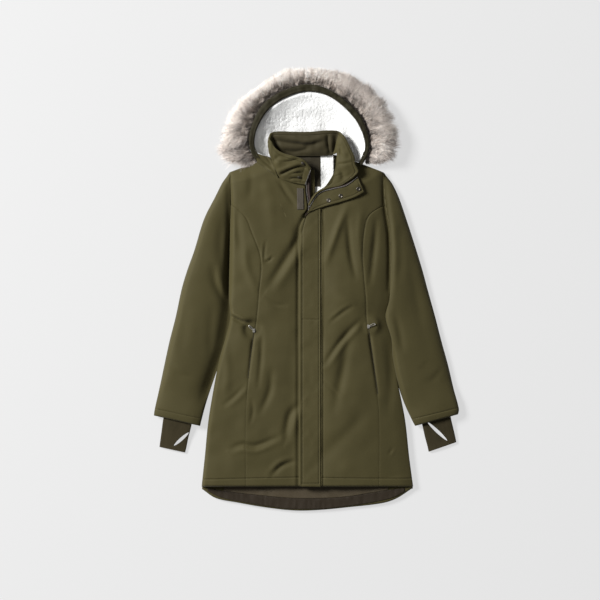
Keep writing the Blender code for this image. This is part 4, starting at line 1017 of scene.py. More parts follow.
def add_tail():
    """Where the back's inner side shows below the front hem: lining, then the hem's facing."""
    edges = table(TAIL_INSIDE)
    base = BACK_WALL + GAP
    half_width, end_width, lining_top_y = 0.246, 0.0205, -0.478

    def facing(u, v):
        x = half_width * (2 * u - 1)
        lower, upper = np.moveaxis(edges(x), -1, 0)
        return x, lower + (upper - lower) * v

    def lining(u, v):
        x = (half_width - 2 * end_width) * (2 * u - 1)
        lower = edges(x)[..., 1] + 0.0003
        return x, lower + (lining_top_y - lower) * v

    def facing_top(x, y):
        return base + 0.0012 + 0.0005 * swell(x, y * 0.3, 0.006, 71) + 0.0004 * swell(x, y, 0.017, 72)

    def lining_top(x, y):
        return base + 0.0016 + 0.0009 * swell(x + 0.6 * y, y, 0.015, 73) * ease((y + 0.53) / 0.02)

    u, v = stations(0.49, 0.003), stations(0.030, 0.0030)
    for name, outline, top, radius, look, node, flat, area in (
        ("back_hem_facing_cloth", facing, facing_top, 0.002,
         LINING_BROWN, "back_hem_facing", (0.495, 0.053), 0.0107),
        ("back_lining_cloth", lining, lining_top, 0.001,
         LINING_GREEN, "back_lining", (0.41, 0.045), 0.0125),
    ):
        thing = laid(name, outline, u, v, lambda x, y: base, top, (radius,) * 4, floor=0.4)
        finish_piece(thing, look, [node], flat=flat, area=area, rests_on=["back_panels"])


# The fronts


def add_fronts():
    """Two panels each side, joined by the princess seams."""
    hem, share = FRONT_HEM_Y, 0.85
    left_x, right_x, flap_x = -0.004, 0.004, -0.0192
    groove = (0.0016, 0.0014, HEM_STITCHES)
    flap_seam = (0.0014, -0.0014, ((0.0398, hem), (0.0398, 0.212)))
    flap_gutter = (0.0012, 0.0010, ((0.0430, hem), (0.0430, 0.212)))
    undercut = (0.0045, 0.0045, ((flap_x, hem), (flap_x, 0.120), (-0.0170, 0.158), (-0.0045, 0.186)))

    left_edge = joined(
        seam(LEFT_PRINCESS, HALF_SEAM), side(0, SEAM_TOP_Y, SHOULDER_Y, HALF_SEAM), share
    )
    right_edge = joined(line((left_x, hem), (left_x, BREAK_Y)), route(LEFT_OPENING), share)
    left_hem, right_hem = line((-0.150, hem), (left_x, hem)), line((right_x, hem), (0.182, hem))
    centre_left = patch(left_edge, right_edge, left_hem, route(LEFT_NECK, False))
    roll_edge = joined(line((right_x, hem), (right_x, 0.196)), route(ROLL), share)
    right_seam = joined(
        seam(RIGHT_PRINCESS, -HALF_SEAM), side(1, SEAM_TOP_Y, SHOULDER_Y, -HALF_SEAM), share
    )
    centre_right = patch(roll_edge, right_seam, right_hem, route(RIGHT_NECK, False))
    side_left = patch(
        side(0, hem, SEAM_TOP_Y, -0.0003),
        seam(LEFT_PRINCESS, -HALF_SEAM),
        line((-0.2603, hem), (-0.1501, hem)),
        line((-0.1885, SEAM_TOP_Y), (-0.1883, SEAM_TOP_Y)),
    )
    side_right = patch(
        seam(RIGHT_PRINCESS, HALF_SEAM),
        side(1, hem, SEAM_TOP_Y, 0.0003),
        line((0.1821, hem), (0.2673, hem)),
        line((0.1979, SEAM_TOP_Y), (0.1981, SEAM_TOP_Y)),
    )
    hem_extra = (0.0200, 0.0240)
    v_centre = stations(0.830, 0.0040, extra=hem_extra)
    v_side = stations(0.704, 0.0040, extra=hem_extra)
    u_right = stations(0.165, 0.0042, extra=(0.0358, 0.0390))
    panels = (
        ("front_center_left", centre_left, stations(0.16, 0.0040), v_centre,
         (0, 0.004, 0.006, 0), (0.0010, 0, 0, 0.0012), (groove, undercut), (0.192, 0.832), 0.1235),
        ("front_center_right", centre_right, u_right, v_centre,
         (0.004, 0, 0.006, 0), (0, 0.0010, 0, 0.0012),
         (groove, flap_seam, flap_gutter), (0.198, 0.842), 0.136),
        ("front_side_left", side_left, stations(0.10, 0.0040), v_side,
         (0, 0, 0.006, 0), (0, 0.0010, 0, 0), (groove,), (0.150, 0.710), 0.0565),
        ("front_side_right", side_right, stations(0.07, 0.0040), v_side,
         (0, 0, 0.006, 0), (0.0010, 0, 0, 0), (groove,), (0.128, 0.710), 0.0425),
    )
    made = []
    for name, outline, u, v, radii, depths, grooves, flat, area in panels:
        thing = laid(name + "_cloth", outline, u, v, front_low, front_high, radii, depths, grooves)
        finish_piece(thing, SHELL, [name], flat=flat, area=area, rests_on=["back_panels"])
        made.append(thing)
    return made


# Sleeves and cuffs


# Height of a sleeve across its width. Columns: share of the width from its outer edge, height
LEFT_CROWN = (
    (0.00, 0.28), (0.03, 0.66), (0.08, 0.90), (0.17, 0.99), (0.30, 1.00), (0.45, 0.96), (0.58, 0.89),
    (0.70, 0.79), (0.80, 0.64), (0.88, 0.43), (0.95, 0.28), (1.00, 0.26),
)
RIGHT_CROWN = (
    (0.00, 0.28), (0.04, 0.46), (0.14, 0.62), (0.35, 0.79), (0.55, 0.92),
    (0.72, 0.99), (0.86, 1.00), (0.94, 0.92), (0.98, 0.60), (1.00, 0.28),
)


# Grid columns round the tubes
SLEEVE_COLUMNS = 76
CUFF_COLUMNS = 56


def add_sleeve(name, rows, crown):
    """A padded tube pressed flat, its lining drawn back a little from the cuff's edge."""
    at = route(rows)
    # Half the height of the gap inside, the share of the height at a side, and the crown's rise
    slot, slot_at_cuff = 0.0016, 0.0050
    side_height, rise_of_crown = 0.28, 1.12
    length, cuff_stitch = 0.640, 0.6195
    way = stations(length, 0.0054, extra=(cuff_stitch,))
    turn = np.arange(SLEEVE_COLUMNS) / SLEEVE_COLUMNS
    grid_turn, grid_way = np.meshgrid(turn, way, indexing="ij")
    outer_x, outer_y, inner_x, inner_y, bow, height = np.moveaxis(at(grid_way), -1, 0)
    run = grid_way * length
    on_left = rows[0][0] < 0
    tuck = 0.0052 * ease(1 - run / 0.030) * (1 if on_left else -1)
    outer_x, inner_x = outer_x + tuck, inner_x + tuck
    angle = math.tau * grid_turn
    width = np.hypot(inner_x - outer_x, inner_y - outer_y)

    def place(shrink):
        share = 0.5 + rounded(np.cos(angle), 0.8) * (0.5 - shrink / width)
        x = outer_x + (inner_x - outer_x) * share + bow * 4 * share * (1 - share)
        y = outer_y + (inner_y - outer_y) * share
        low, high = sides_at(y)
        x = np.minimum(x, low + SLEEVE_TUCK) if on_left else np.maximum(x, high - SLEEVE_TUCK)
        return x, y, share

    x, y, share = place(0.0)
    lift = rounded(np.sin(angle), 0.82)
    lift = np.where(lift < 0, np.maximum(rounded(lift, 0.6) * 1.06, -1.0), lift)
    above, below = ease(lift), ease(-lift)
    rise = relief(x, y, SLEEVE_CREASES) * above
    rise += waves(x, y, (0.0016, 0.080, 31), (0.0005, 0.028, 32)) * above
    pucker = swell(grid_turn * 0.26, run * 0, 0.0085, 33)
    rise -= above * (0.0022 * bell(run, 0.0030) + 0.0012 * bell(run, 0.014) * (1 + 0.7 * pucker))
    rise -= above * 0.0012 * bell(run - cuff_stitch, 0.0014)
    rise -= above * 0.0005 * pucker * bell(run - cuff_stitch, 0.008)
    under = relief(x, y, UNDER_CREASES) + 0.0010 * np.maximum(swell(x, y, 0.07, 34), 0)
    under = np.clip(under, 0, 0.004)
    under += 0.0012 * bell(run - cuff_stitch, 0.0014)
    squeeze = 0.55 + 0.45 * quarter((length - run) / 0.0045)
    open_end = ease((grid_way - 0.82) / 0.12)
    domed = (side_height + (table(crown)(share)[..., 0] - side_height) * rise_of_crown) * height
    sunk = side_height * height * (1 - np.minimum(rounded(np.abs(lift), 0.7) * 1.06, 1.0))
    at_cuff = height / 2 * (1 + lift * squeeze)
    z = np.where(lift >= 0, domed, sunk) * (1 - open_end) + at_cuff * open_end + rise + under * below
    outer = stacked(x, y, np.maximum(z, 0.0))
    inside_x, inside_y, _ = place(0.012)
    half = slot + (slot_at_cuff - slot) * ease((grid_way - 0.88) / 0.08)
    centre = height * (side_height + (0.5 - side_height) * open_end)
    inner = stacked(inside_x, inside_y, centre + half * rounded(np.sin(angle), 0.55))
    sleeve = shell(name + "_cloth", outer, inner, wrap=True)
    finish_piece(sleeve, SHELL, [name], flat=(0.30, 0.64), area=0.118, rests_on=["floor"])
    row = at(np.array(cuff_stitch / length))
    seam_line = row[:2] + (row[2:4] - row[:2]) * np.linspace(0.03, 0.97, 9)[:, None]
    stitches(name + "_cuff_stitches", surface_of(sleeve), [seam_line])


def lens_outline(thumb, width, grow=0.0, count=28):
    """Points round a thumb opening, from tip to tip and back."""
    ax, ay, bx, by = thumb
    length = math.hypot(bx - ax, by - ay) + 2 * grow
    heading = math.atan2(by - ay, bx - ax)
    found = []
    for number in range(count):
        angle = math.tau * number / count
        along = math.cos(angle) * length / 2
        sideways = float(rounded(math.sin(angle), 1.3)) * (width / 2 + grow)
        x = (ax + bx) / 2 + along * math.cos(heading) - sideways * math.sin(heading)
        y = (ay + by) / 2 + along * math.sin(heading) + sideways * math.cos(heading)
        found.append((x, y))
    return found


def add_inner_cuff(name, rows, thumb):
    """A thin knitted tube, cut through for the thumb, with a stitched edge round the opening."""
    at = route(rows)
    half_height = 0.0034
    turn = np.arange(CUFF_COLUMNS) / CUFF_COLUMNS
    way = stations(0.105, 0.0022)
    grid_turn, grid_way = np.meshgrid(turn, way, indexing="ij")
    outer_x, outer_y, inner_x, inner_y, centre = np.moveaxis(at(grid_way), -1, 0)
    angle = math.tau * grid_turn
    width = np.hypot(inner_x - outer_x, inner_y - outer_y)

    def place(shrink):
        share = 0.5 + rounded(np.cos(angle), 0.8) * (0.5 - shrink / width)
        x = outer_x + (inner_x - outer_x) * share
        y = outer_y + (inner_y - outer_y) * share
        above = np.clip(np.sin(angle), 0, 1)
        ribs = 0.00022 * np.cos(share * width / 0.0024 * math.tau) * above
        soft = 0.0008 * swell(x, y, 0.022, 41) * above
        z = centre + (half_height - shrink) * rounded(np.sin(angle), 0.5) + ribs + soft
        return stacked(x, y, np.maximum(z, 0.0003))

    cuff = shell(name + "_knit", place(0.0), place(CUFF_WALL * 0.8), wrap=True)
    hole = lens_outline(thumb, THUMB_WIDTH)
    walls = [(x, y, z) for z in CUTTER_HEIGHTS for x, y in hole]
    cutter = mesh_object(name + "_cutter", walls, capped(len(hole), 2))
    fix_normals(cutter)
    cut = cuff.modifiers.new("thumb", "BOOLEAN")
    cut.operation, cut.solver, cut.object = "DIFFERENCE", "EXACT", cutter
    evaluated = cuff.evaluated_get(bpy.context.evaluated_depsgraph_get())
    cuff.data = bpy.data.meshes.new_from_object(evaluated)
    cuff.modifiers.clear()
    bpy.data.objects.remove(cutter)
    cuff.data.shade_smooth()
    cuff.data.set_sharp_from_angle(angle=math.radians(60))
    finish_piece(cuff, CUFF, [name], flat=(0.145, 0.105), area=0.0120, rests_on=["floor"])
    ring = lens_outline(thumb, THUMB_WIDTH, 0.0016)
    stitches(name + "_thumb_stitches", surface_of(cuff), [ring + ring[:1]], pitch=0.0022)


# The neck, the collar and the closure


def add_neck():
    """The fleece inside the back's neck, with the plain patch sewn on it."""
    low = BACK_WALL + GAP
    top = low + SHERPA_WALL
    fleece_outline = four_sided((-0.040, 0.232), (0.070, 0.232), (-0.040, 0.337), (0.070, 0.337))
    patch_outline = four_sided((-0.040, 0.2585), (0.0365, 0.2585), (-0.040, 0.3385), (0.0365, 0.3385))

    def fleece_top(x, y):
        return top - 0.0016 + 0.0018 * knobs(x, y, 0.0052, 51) + 0.0007 * swell(x, y, 0.02, 52)

    def patch_top(x, y):
        return top + 0.0012 + 0.0006 * swell(x, y, 0.018, 54)

    u, v = stations(0.110, 0.0015, (0, 0)), stations(0.105, 0.0015, (0, 0))
    fleece = laid("neck_fleece", fleece_outline, u, v, lambda x, y: low, fleece_top, (0.002,) * 4)
    finish_piece(fleece, SHERPA, ["neck_lining"], flat=(0.110, 0.105), rests_on=["back_panels"])
    bare = laid(
        "neck_patch_cloth", patch_outline, stations(0.0765, 0.002), stations(0.080, 0.002),
        lambda x, y: top + 0.0003, patch_top, (0.001,) * 4, floor=0.4,
    )
    finish_piece(bare, NECK_PATCH, ["neck_patch"], flat=(0.0765, 0.080), rests_on=["neck_fleece"])


def over_front(lift):
    return lambda x, y: front_high(x, y) + lift


def teeth(name, points, nodes, width=0.0024, size=0.0011, height=0.0013, pitch=0.0019, look=SILVER):
    """A row of moulded zip teeth along a line of points in space."""
    points = np.asarray(points, float)
    length = np.linalg.norm(np.diff(points, axis=0), axis=1).sum()
    at = route(points)
    parts = []
    for number in range(round(length / pitch)):
        share = (number + 0.5) * pitch / length
        places = (share, min(share + 0.004, 1.0), max(share - 0.004, 0.0))
        here, ahead, behind = (Vector(at(np.array(place))) for place in places)
        way = (ahead - behind).normalized()
        aside = way.cross(Vector((0, 0, 1))).normalized()
        up = aside.cross(way).normalized()
        reach = width * (0.5 if number % 2 else 0.44)
        corners = []
        for level, grow in ((0.0, 1.0), (height * 0.7, 0.95), (height, 0.6)):
            for a, b in ((-1, -1), (1, -1), (1, 1), (-1, 1)):
                corner = here + way * (a * size / 2 * grow) + aside * (b * reach * grow)
                corners.append(corner + up * level)
        parts.append((corners, capped(4, 3)))
    thing = joined_meshes(name, parts)
    fix_normals(thing)
    thing.data.shade_flat()
    finish_piece(thing, look, nodes)


def teeth_on_front(name, row, count, lift, nodes, **form):
    """A row of zip teeth along a plan line, lifted off the front."""
    spots = route(row)(np.linspace(0, 1, count))
    heights = front_high(spots[:, 0], spots[:, 1]) + lift
    teeth(name, np.column_stack((spots, heights)), nodes, **form)


# The storm flap: how far it lies over the front, its corner and its stitch lines
FLAP_GAP = 2 * GAP
ON_FLAP = FLAP_GAP + FLAP_WALL + GAP
FLAP_HEM_Y = FRONT_HEM_Y + 0.001
FLAP_CORNER = 0.009
FLAP_STITCHES = (
    ((-0.009, -0.480), (-0.009, 0.150), (0.000, 0.182)),
    ((0.0318, -0.4795), (0.0318, 0.200)),
    ((-0.009, -0.480), (0.0318, -0.480)),
    ((-0.009, -0.072), (0.0318, -0.072)),
)
TURNED_END = ((0.1385, 0.2475), (0.1290, 0.2700))
TURNED_EDGE = tuple(
    (free_x * 0.79 + zip_x * 0.21 + 0.0008, free_y * 0.79 + zip_y * 0.21)
    for free_x, free_y, zip_x, zip_y in TURNED_FLAP[1:]
)
# Columns: x, y of the zip down the left front's edge
LEFT_ZIP_LINE = (
    (0.0058, 0.1960), (0.0066, 0.2070), (0.0044, 0.2260), (0.0018, 0.2460), (0.0008, 0.2680),
)
TAB_STITCHES = (
    (-0.0195, 0.2035), (-0.020, 0.2515), (-0.009, 0.2515), (-0.008, 0.2035), (-0.0195, 0.2035),
)


def add_storm_flap():
    """The flap over the zip, with a rounded corner at its foot."""
    left, hem = FLAP_LEFT_X, FLAP_HEM_Y
    bend = FLAP_CORNER * (1 - math.sqrt(0.5))
    start = (left + bend, hem + bend)
    left_edge = route((
        start, (left + 0.0010, hem + 0.0052), (left, hem + FLAP_CORNER), (left, 0.06),
        (left, 0.120), (-0.015, 0.156), (-0.006, 0.179), (0.002, 0.190),
    ))
    foot_points = (start, (left + 0.0052, hem + 0.0010), (left + FLAP_CORNER, hem), (FLAP_RIGHT_X, hem))
    foot = route(foot_points, False)
    right_edge = line((FLAP_RIGHT_X, hem), (FLAP_RIGHT_X, 0.209))
    outline = patch(left_edge, right_edge, foot, line((0.002, 0.190), (FLAP_RIGHT_X, 0.209)))

    def top(x, y):
        roll = 0.0010 * bell(x - left - 0.0022, 0.0022)
        soft = 0.0009 * swell(x * 0.6, y, 0.034, 81) + 0.0004 * swell(x, y, 0.012, 82)
        return front_high(x, y) + FLAP_GAP + FLAP_WALL + roll + soft

    u = stations(0.054, 0.0026, extra=(0.008, 0.0488))
    v = stations(0.692, 0.0042, extra=(0.0085, 0.4180))
    grooves = [(0.0013, 0.0010, points) for points in FLAP_STITCHES]
    flap = laid(
        "storm_flap_cloth", outline, u, v, over_front(FLAP_GAP), top,
        (0.0032, 0.0030, 0.0032, 0), grooves=grooves, floor=0.2,
    )
    finish_piece(
        flap, SHELL, ["storm_flap"], flat=(0.110, 0.694), area=0.0372, rests_on=["front_center_right_cloth"]
    )
    return flap


def add_turned_flap():
    """The upper end of the flap and the front, folded back across the chest."""
    outline = paired(((-0.0075, 0.1805, 0.0085, 0.2015),) + TURNED_FLAP)

    def top(x, y):
        soft = waves(x, y, (0.0010, 0.024, 83), (0.0004, 0.010, 84))
        return front_high(x, y) + ON_FLAP + FLAP_WALL + soft

    u, v = stations(0.160, 0.0026), stations(0.032, 0.0022, extra=(0.0065,))
    grooves = [(0.0013, 0.0009, points) for points in (TURNED_EDGE, TURNED_END)]
    flap = laid(
        "storm_flap_turned_cloth", outline, u, v, over_front(ON_FLAP), top,
        (0, 0.003, 0.003, 0), grooves=grooves, floor=0.2,
    )
    finish_piece(
        flap, SHELL, ["storm_flap_turned"],
        flat=(0.160, 0.045), area=0.0047, rests_on=["front_center_right_cloth"],
    )
    return flap


def add_zip_half(side_name, row, offsets, sizes, lift, wall, sheet, teeth_lift, count, **form):
    """One half of the open zip: its tape on the cloth below it, then its teeth."""
    low_x, low_y, high_x, high_y = offsets
    rows = [(x + low_x, y + low_y, x + high_x, y + high_y) for x, y in row]
    u, v = stations(sizes[0], 0.003), stations(sizes[1], 0.002)
    tape = laid(
        f"zip_tape_{side_name}", paired(rows), u, v,
        over_front(lift), over_front(lift + wall), (0.001,) * 4, floor=0.4,
    )
    finish_piece(tape, ZIP_TAPE, **sheet)
    teeth_on_front(f"zip_teeth_{side_name}", row, count, teeth_lift, [f"zip_{side_name}"], **form)


def add_closure():
    """Storm flap, zip and the part of the front that is turned back."""
    storm, folded = add_storm_flap(), add_turned_flap()
    right_sheet = {"flat": (0.010, 0.155), "area": 0.00075, "rests_on": ["storm_flap_turned_cloth"]}
    left_sheet = {"flat": (0.012, 0.084), "area": 0.0006, "rests_on": ["front_center_left_cloth"]}
    add_zip_half(
        "right", ZIP_LINE, (-0.0024, -0.0030, 0.0018, 0.0036), (0.150, 0.0075),
        ON_FLAP + 0.0012, TAPE_WALL, right_sheet, ON_FLAP + 0.0030, 40,
        width=0.0019, pitch=0.0014, size=0.0010, height=0.0009,
    )
    add_zip_half(
        "left", LEFT_ZIP_LINE, (-0.0008, 0.0, 0.0072, 0.0), (0.064, 0.007),
        GAP, 0.0012, left_sheet, GAP + 0.0014, 30, width=0.0020, pitch=0.0015, size=0.0010,
    )
    chain_y = np.linspace(FRONT_HEM_Y + 0.004, 0.186, 120)
    chain = np.column_stack((chain_y * 0, chain_y, front_low(chain_y * 0, chain_y) + 0.0045))
    teeth("zip_teeth_closed", chain, ["zip_closed"], width=0.0056, pitch=0.0026, size=0.0018)
    add_guards()
    add_tab()
    return storm, folded


def add_guards():
    """The zip's inner tape and the guard beside it, standing up into the open neck."""
    top_y = 0.300

    def guard_low(y):
        return 0.0222 + 0.0075 * ease((y - 0.262) / 0.034)

    for name, look, nodes, left_x, right_x, lift, foot_x, foot_y in (
        ("zip_tape_inner", ZIP_TAPE, [], 0.0022, 0.0118, 0.0026, -0.0020, 0.184),
        ("wind_guard_cloth", SHELL, ["wind_guard"], 0.0085, 0.0212, 0.0000, 0.0030, 0.2105),
    ):
        far_x = foot_x + 0.0070
        outline = patch(
            route(((foot_x, foot_y), (left_x, 0.238), (left_x, top_y))),
            route(((far_x, foot_y), (right_x, 0.236), (right_x, top_y))),
            line((foot_x, foot_y), (far_x, foot_y)),
            line((left_x, top_y), (right_x, top_y)),
        )
        guard = laid(
            name, outline, stations(0.012, 0.0016), stations(0.100, 0.003),
            lambda x, y: guard_low(y) + lift,
            lambda x, y: guard_low(y) + lift + 0.0018 + 0.0008 * swell(x, y, 0.016, 88),
            (0.001, 0.0015, 0.001, 0.002), floor=0.3,
        )
        finish_piece(guard, look, nodes, flat=(0.0115, 0.100), rests_on=["neck_fleece"])


def add_tab():
    """The webbing tab on the left chest."""
    outline = four_sided((-0.0220, 0.201), (-0.0055, 0.201), (-0.0225, 0.254), (-0.0065, 0.254))
    u, v = stations(0.0165, 0.0015), stations(0.053, 0.002)
    tab = laid(
        "chest_tab_webbing", outline, u, v, over_front(GAP), over_front(GAP + 0.0017),
        (0.001,) * 4, grooves=((0.0007, 0.0004, TAB_STITCHES),), floor=0.3,
    )
    finish_piece(tab, TAB, ["chest_tab"], flat=(0.0165, 0.053), rests_on=["front_center_left_cloth"])


# The collar's foot, spread over the left front and the back's neck: x, y for its first rows
COLLAR_FOOT = (
    (-0.0015, 0.2630), (-0.020, 0.2655), (-0.041, 0.2705), (-0.057, 0.2765), (-0.067, 0.2845),
    (-0.0735, 0.302), (-0.080, 0.317), (-0.0845, 0.329), (-0.076, 0.335), (-0.060, 0.3355), (-0.030, 0.3350),
    (0.010, 0.3355), (0.045, 0.3360), (0.068, 0.3385),
)
# Creases of the collar: distance along it from the left zip, and height
COLLAR_CREASES = (
    (0.0034, -0.0052, 1, ((0.012, 0.047), (0.030, 0.040), (0.052, 0.026), (0.080, 0.006))),
    (0.0022, -0.0036, -1, ((0.010, 0.013), (0.026, 0.012), (0.046, 0.007))),
    (0.0040, -0.0030, 1, ((0.034, 0.058), (0.052, 0.046), (0.080, 0.038))),
    (0.0040, -0.0026, -1, ((0.056, 0.052), (0.074, 0.048), (0.096, 0.026))),
    (0.0030, -0.0022, 1, ((0.018, 0.030), (0.034, 0.024), (0.048, 0.018))),
    (0.0030, 0.0026, 0, ((0.096, 0.006), (0.104, 0.028), (0.108, 0.050))),
    (0.0070, -0.0034, 1, ((0.128, 0.044), (0.160, 0.034), (0.196, 0.030))),
    (0.0060, -0.0026, 0, ((0.150, 0.016), (0.190, 0.012), (0.228, 0.022))),
    (0.0060, 0.0030, -1, ((0.176, 0.046), (0.214, 0.038), (0.252, 0.045))),
    (0.0040, -0.0040, 1, ((0.262, 0.050), (0.266, 0.030), (0.274, 0.006))),
    (0.0060, -0.0020, 0, ((0.300, 0.030), (0.318, 0.018), (0.338, 0.024))),
    (0.0030, -0.0014, 1, ((0.345, 0.004), (0.350, 0.028), (0.352, 0.054))),
    (0.0060, -0.0018, -1, ((0.362, 0.016), (0.384, 0.026), (0.398, 0.044))),
    (0.0050, -0.0016, 0, ((0.400, 0.008), (0.424, 0.018), (0.452, 0.012))),
    (0.0030, -0.0014, 0, ((0.440, 0.014), (0.458, 0.010), (0.480, 0.008))),
)


COLLAR_LENGTH, COLLAR_HEIGHT = 0.500, 0.060
# Its stitches: up its height along the edge, and along it beside the zip
COLLAR_EDGE_STITCH, COLLAR_END_STITCH = 0.052, 0.016


def front_height(x, y):
    return float(front_high(np.array(x), np.array(y)))


def collar_rows():
    """The collar's rows from the left zip round the neck, on down the turned back front."""
    rows = [list(row) for row in COLLAR]
    for row, (x, y) in zip(rows, COLLAR_FOOT):
        on_front = x < 0.0 and y < 0.320
        rise = front_height(x, y) + COLLAR_WALL / 2 + 0.0010 if on_front else 0.0225
        row[:3] = [x, y, max(row[2], rise)]
    for row in rows[8:13]:
        row[5] += 0.0050
    for near_x, near_y, far_x, far_y in FACING[-2::-1]:
        near_z, far_z = front_height(near_x, near_y), front_height(far_x, far_y)
        lift = ON_FLAP + 0.0027
        rows.append([near_x, near_y, near_z + lift, far_x, far_y, far_z + lift])
    return rows


def collar_part(at, first, last):
    """The middle surface of a stretch of the collar, with its creases and waves."""
    t = first + (last - first) * stations(COLLAR_LENGTH * (last - first), 0.0027)
    v = stations(COLLAR_HEIGHT, 0.0021, extra=(COLLAR_EDGE_STITCH,))
    grid_t, grid_v = np.meshgrid(t, v, indexing="ij")
    rows = at(grid_t)
    near, far = rows[..., :3], rows[..., 3:]
    middle = near + (far - near) * grid_v[..., None]
    along, up = grid_t * COLLAR_LENGTH, grid_v * COLLAR_HEIGHT
    normal = grid_normals(middle)
    on_front = ease((along - 0.385) / 0.03)
    wave = 1.35 * relief(along, up, COLLAR_CREASES) * (1 - 0.4 * on_front)
    wave += 0.0016 * swell(along, up, 0.024, 91) + 0.0007 * swell(along, up, 0.010, 92) * (1 - 0.5 * on_front)
    wave += 0.0050 * np.sin(np.pi * grid_v) * ease(np.minimum(grid_t, 0.8 - grid_t) / 0.15)
    for corner, depth in ((0.268, 0.0085), (0.556, 0.0060)):
        wave -= depth * bell(grid_t - corner - 0.012, 0.016) * (0.35 + 0.65 * np.sin(np.pi * grid_v))
    wave -= 0.0012 * bell(up - COLLAR_EDGE_STITCH, 0.0011)
    wave -= 0.0010 * bell(along - COLLAR_END_STITCH, 0.0011)
    wave *= 0.35 + 0.65 * ease(np.minimum(up, COLLAR_HEIGHT - up) / 0.008)
    side_up = np.where(normal[..., 2:] < 0, -1.0, 1.0)
    return middle + normal * side_up * wave[..., None]


def add_collar():
    """Stand collar and front facing in one crumpled cloth, stitched along its upper edge; the collar's inside
    is a little browner and mostly darkened as painted shade.
    """
    rows = np.array(collar_rows())
    at = route(rows)
    steps = np.concatenate(([0.0], np.cumsum(np.linalg.norm(np.diff(rows, axis=0), axis=1))))
    left_corner, right_corner = steps[8] / steps[-1], steps[13] / steps[-1]
    pieces = []
    for name, look, nodes, first, last, flat, area in (
        ("collar_cloth", SHELL, ["collar"], 0.0, left_corner, (0.165, 0.062), 0.0082),
        # The inside stretch, darkened as painted shade
        ("collar_inside_cloth", COLLAR_INSIDE_PAINTED_SHADE, [], left_corner, right_corner, (0.155, 0.062), 0.0086),
        ("front_facing_cloth", SHELL, ["front_facing"], right_corner, 1.0, (0.230, 0.062), 0.0105),
    ):
        ends = (first == 0.0, last == 1.0, False, True)
        part = strip(name, collar_part(at, first, last), COLLAR_WALL, ends)
        finish_piece(part, look, nodes, flat=flat, area=area, rests_on=["neck_fleece"])
        pieces.append(part)
    edge = at(np.linspace(0.0, 0.001, 2))[0]
    base, top = edge[:3], edge[3:]
    shares = np.array((-0.02, 0.3, 0.6, 0.9))[:, None]
    zip_line = base + (top - base) * shares + (-0.0004, 0, 0.0016)
    teeth("zip_teeth_collar", zip_line, [], width=0.0020, pitch=0.0015, size=0.0010)
    return pieces


# The hood


THROAT_CREASES = (
    (0.0034, -0.0030, 1, ((-0.118, 0.331), (-0.102, 0.321), (-0.082, 0.302))),
    (0.0030, -0.0024, -1, ((-0.104, 0.334), (-0.094, 0.324), (-0.084, 0.310))),
    (0.0034, 0.0018, 0, ((-0.112, 0.317), (-0.096, 0.306), (-0.080, 0.292))),
)
FLEECE_LOFT = 0.0105
FLEECE_CREASES = (
    (0.0100, -0.0030, 0, ((-0.060, 0.352), (-0.052, 0.385), (-0.040, 0.420))),
    (0.0090, -0.0026, 0, ((0.012, 0.352), (0.008, 0.380), (-0.004, 0.405))),
    (0.0100, -0.0026, 0, ((0.058, 0.353), (0.052, 0.390), (0.046, 0.420))),
    (0.0080, -0.0024, 1, ((0.092, 0.360), (0.104, 0.385), (0.100, 0.415))),
    (0.0080, -0.0024, -1, ((-0.096, 0.350), (-0.104, 0.372), (-0.100, 0.400))),
    (0.0120, 0.0026, 0, ((-0.030, 0.440), (0.010, 0.452), (0.050, 0.440))),
)


def bowl(turn, way):
    """Plan points and shell underside, from the rim, way 0, to the neck, way 1."""
    rim, core = route(RIM), route(HOOD_CORE)
    around = HOOD_FROM + (HOOD_TO - HOOD_FROM) * turn
    outer_x, outer_y, inner_x, inner_y, rim_z = np.moveaxis(rim(around), -1, 0)
    core_x, core_y = np.moveaxis(core(turn), -1, 0)
    start_x, start_y = outer_x * 0.4 + inner_x * 0.6, outer_y * 0.4 + inner_y * 0.6
    x = start_x + (core_x - start_x) * way
    y = start_y + (core_y - start_y) * way
    top = rim_z - HOOD_WALL - SHERPA_WALL - 3 * GAP
    return x, y, top * (1 - way) ** 2.6


def add_hood():
    """Shell and fleece lining of the hood, as a shallow bowl."""
    grid_t, grid_w = np.meshgrid(stations(0.50, 0.0034), stations(0.13, 0.0030), indexing="ij")
    x, y, z = bowl(grid_t, grid_w)
    wrinkle = waves(x, y, (0.0014, 0.034, 101), (0.0005, 0.014, 102))
    gusset = 0.0014 * (bell(x - 0.040, 0.0030) + bell(x + 0.034, 0.0030))
    under = np.clip(0.0006 + wrinkle + gusset, 0, 0.004) * ease(grid_w * 10) * ease((1 - grid_w) * 12)
    low = z + np.minimum(under, HOOD_WALL * 0.6)
    outside = shell("hood_shell_cloth", stacked(x, y, z + HOOD_WALL), stacked(x, y, low))
    finish_piece(outside, SHELL, ["hood_shell"], flat=(0.44, 0.185), area=0.0350, rests_on=["floor"])

    u, v = stations(0.50, 0.0024, (0, 0)), stations(0.13, 0.0018, (0, 0))
    grid_t, grid_w = np.meshgrid(u, v, indexing="ij")
    x, y, z = bowl(grid_t, grid_w)
    curls = 0.0026 * knobs(x, y, 0.0058, 103) + 0.0007 * knobs(x, y, 0.0024, 107)
    curls += 0.0018 * swell(x, y, 0.030, 104)
    folds = relief(x, y, FLEECE_CREASES) + FLEECE_LOFT * ease(grid_w * 9) * (1 - grid_w) ** 0.8
    base = z + HOOD_WALL + GAP
    top = np.maximum(base + SHERPA_WALL - 0.0008 + curls + folds, base + 0.0012)
    inside = shell("hood_fleece", stacked(x, y, top), stacked(x, y, base))
    finish_piece(
        inside, SHERPA, ["hood_lining"], flat=(0.44, 0.185), area=0.0350, rests_on=["hood_shell_cloth"]
    )


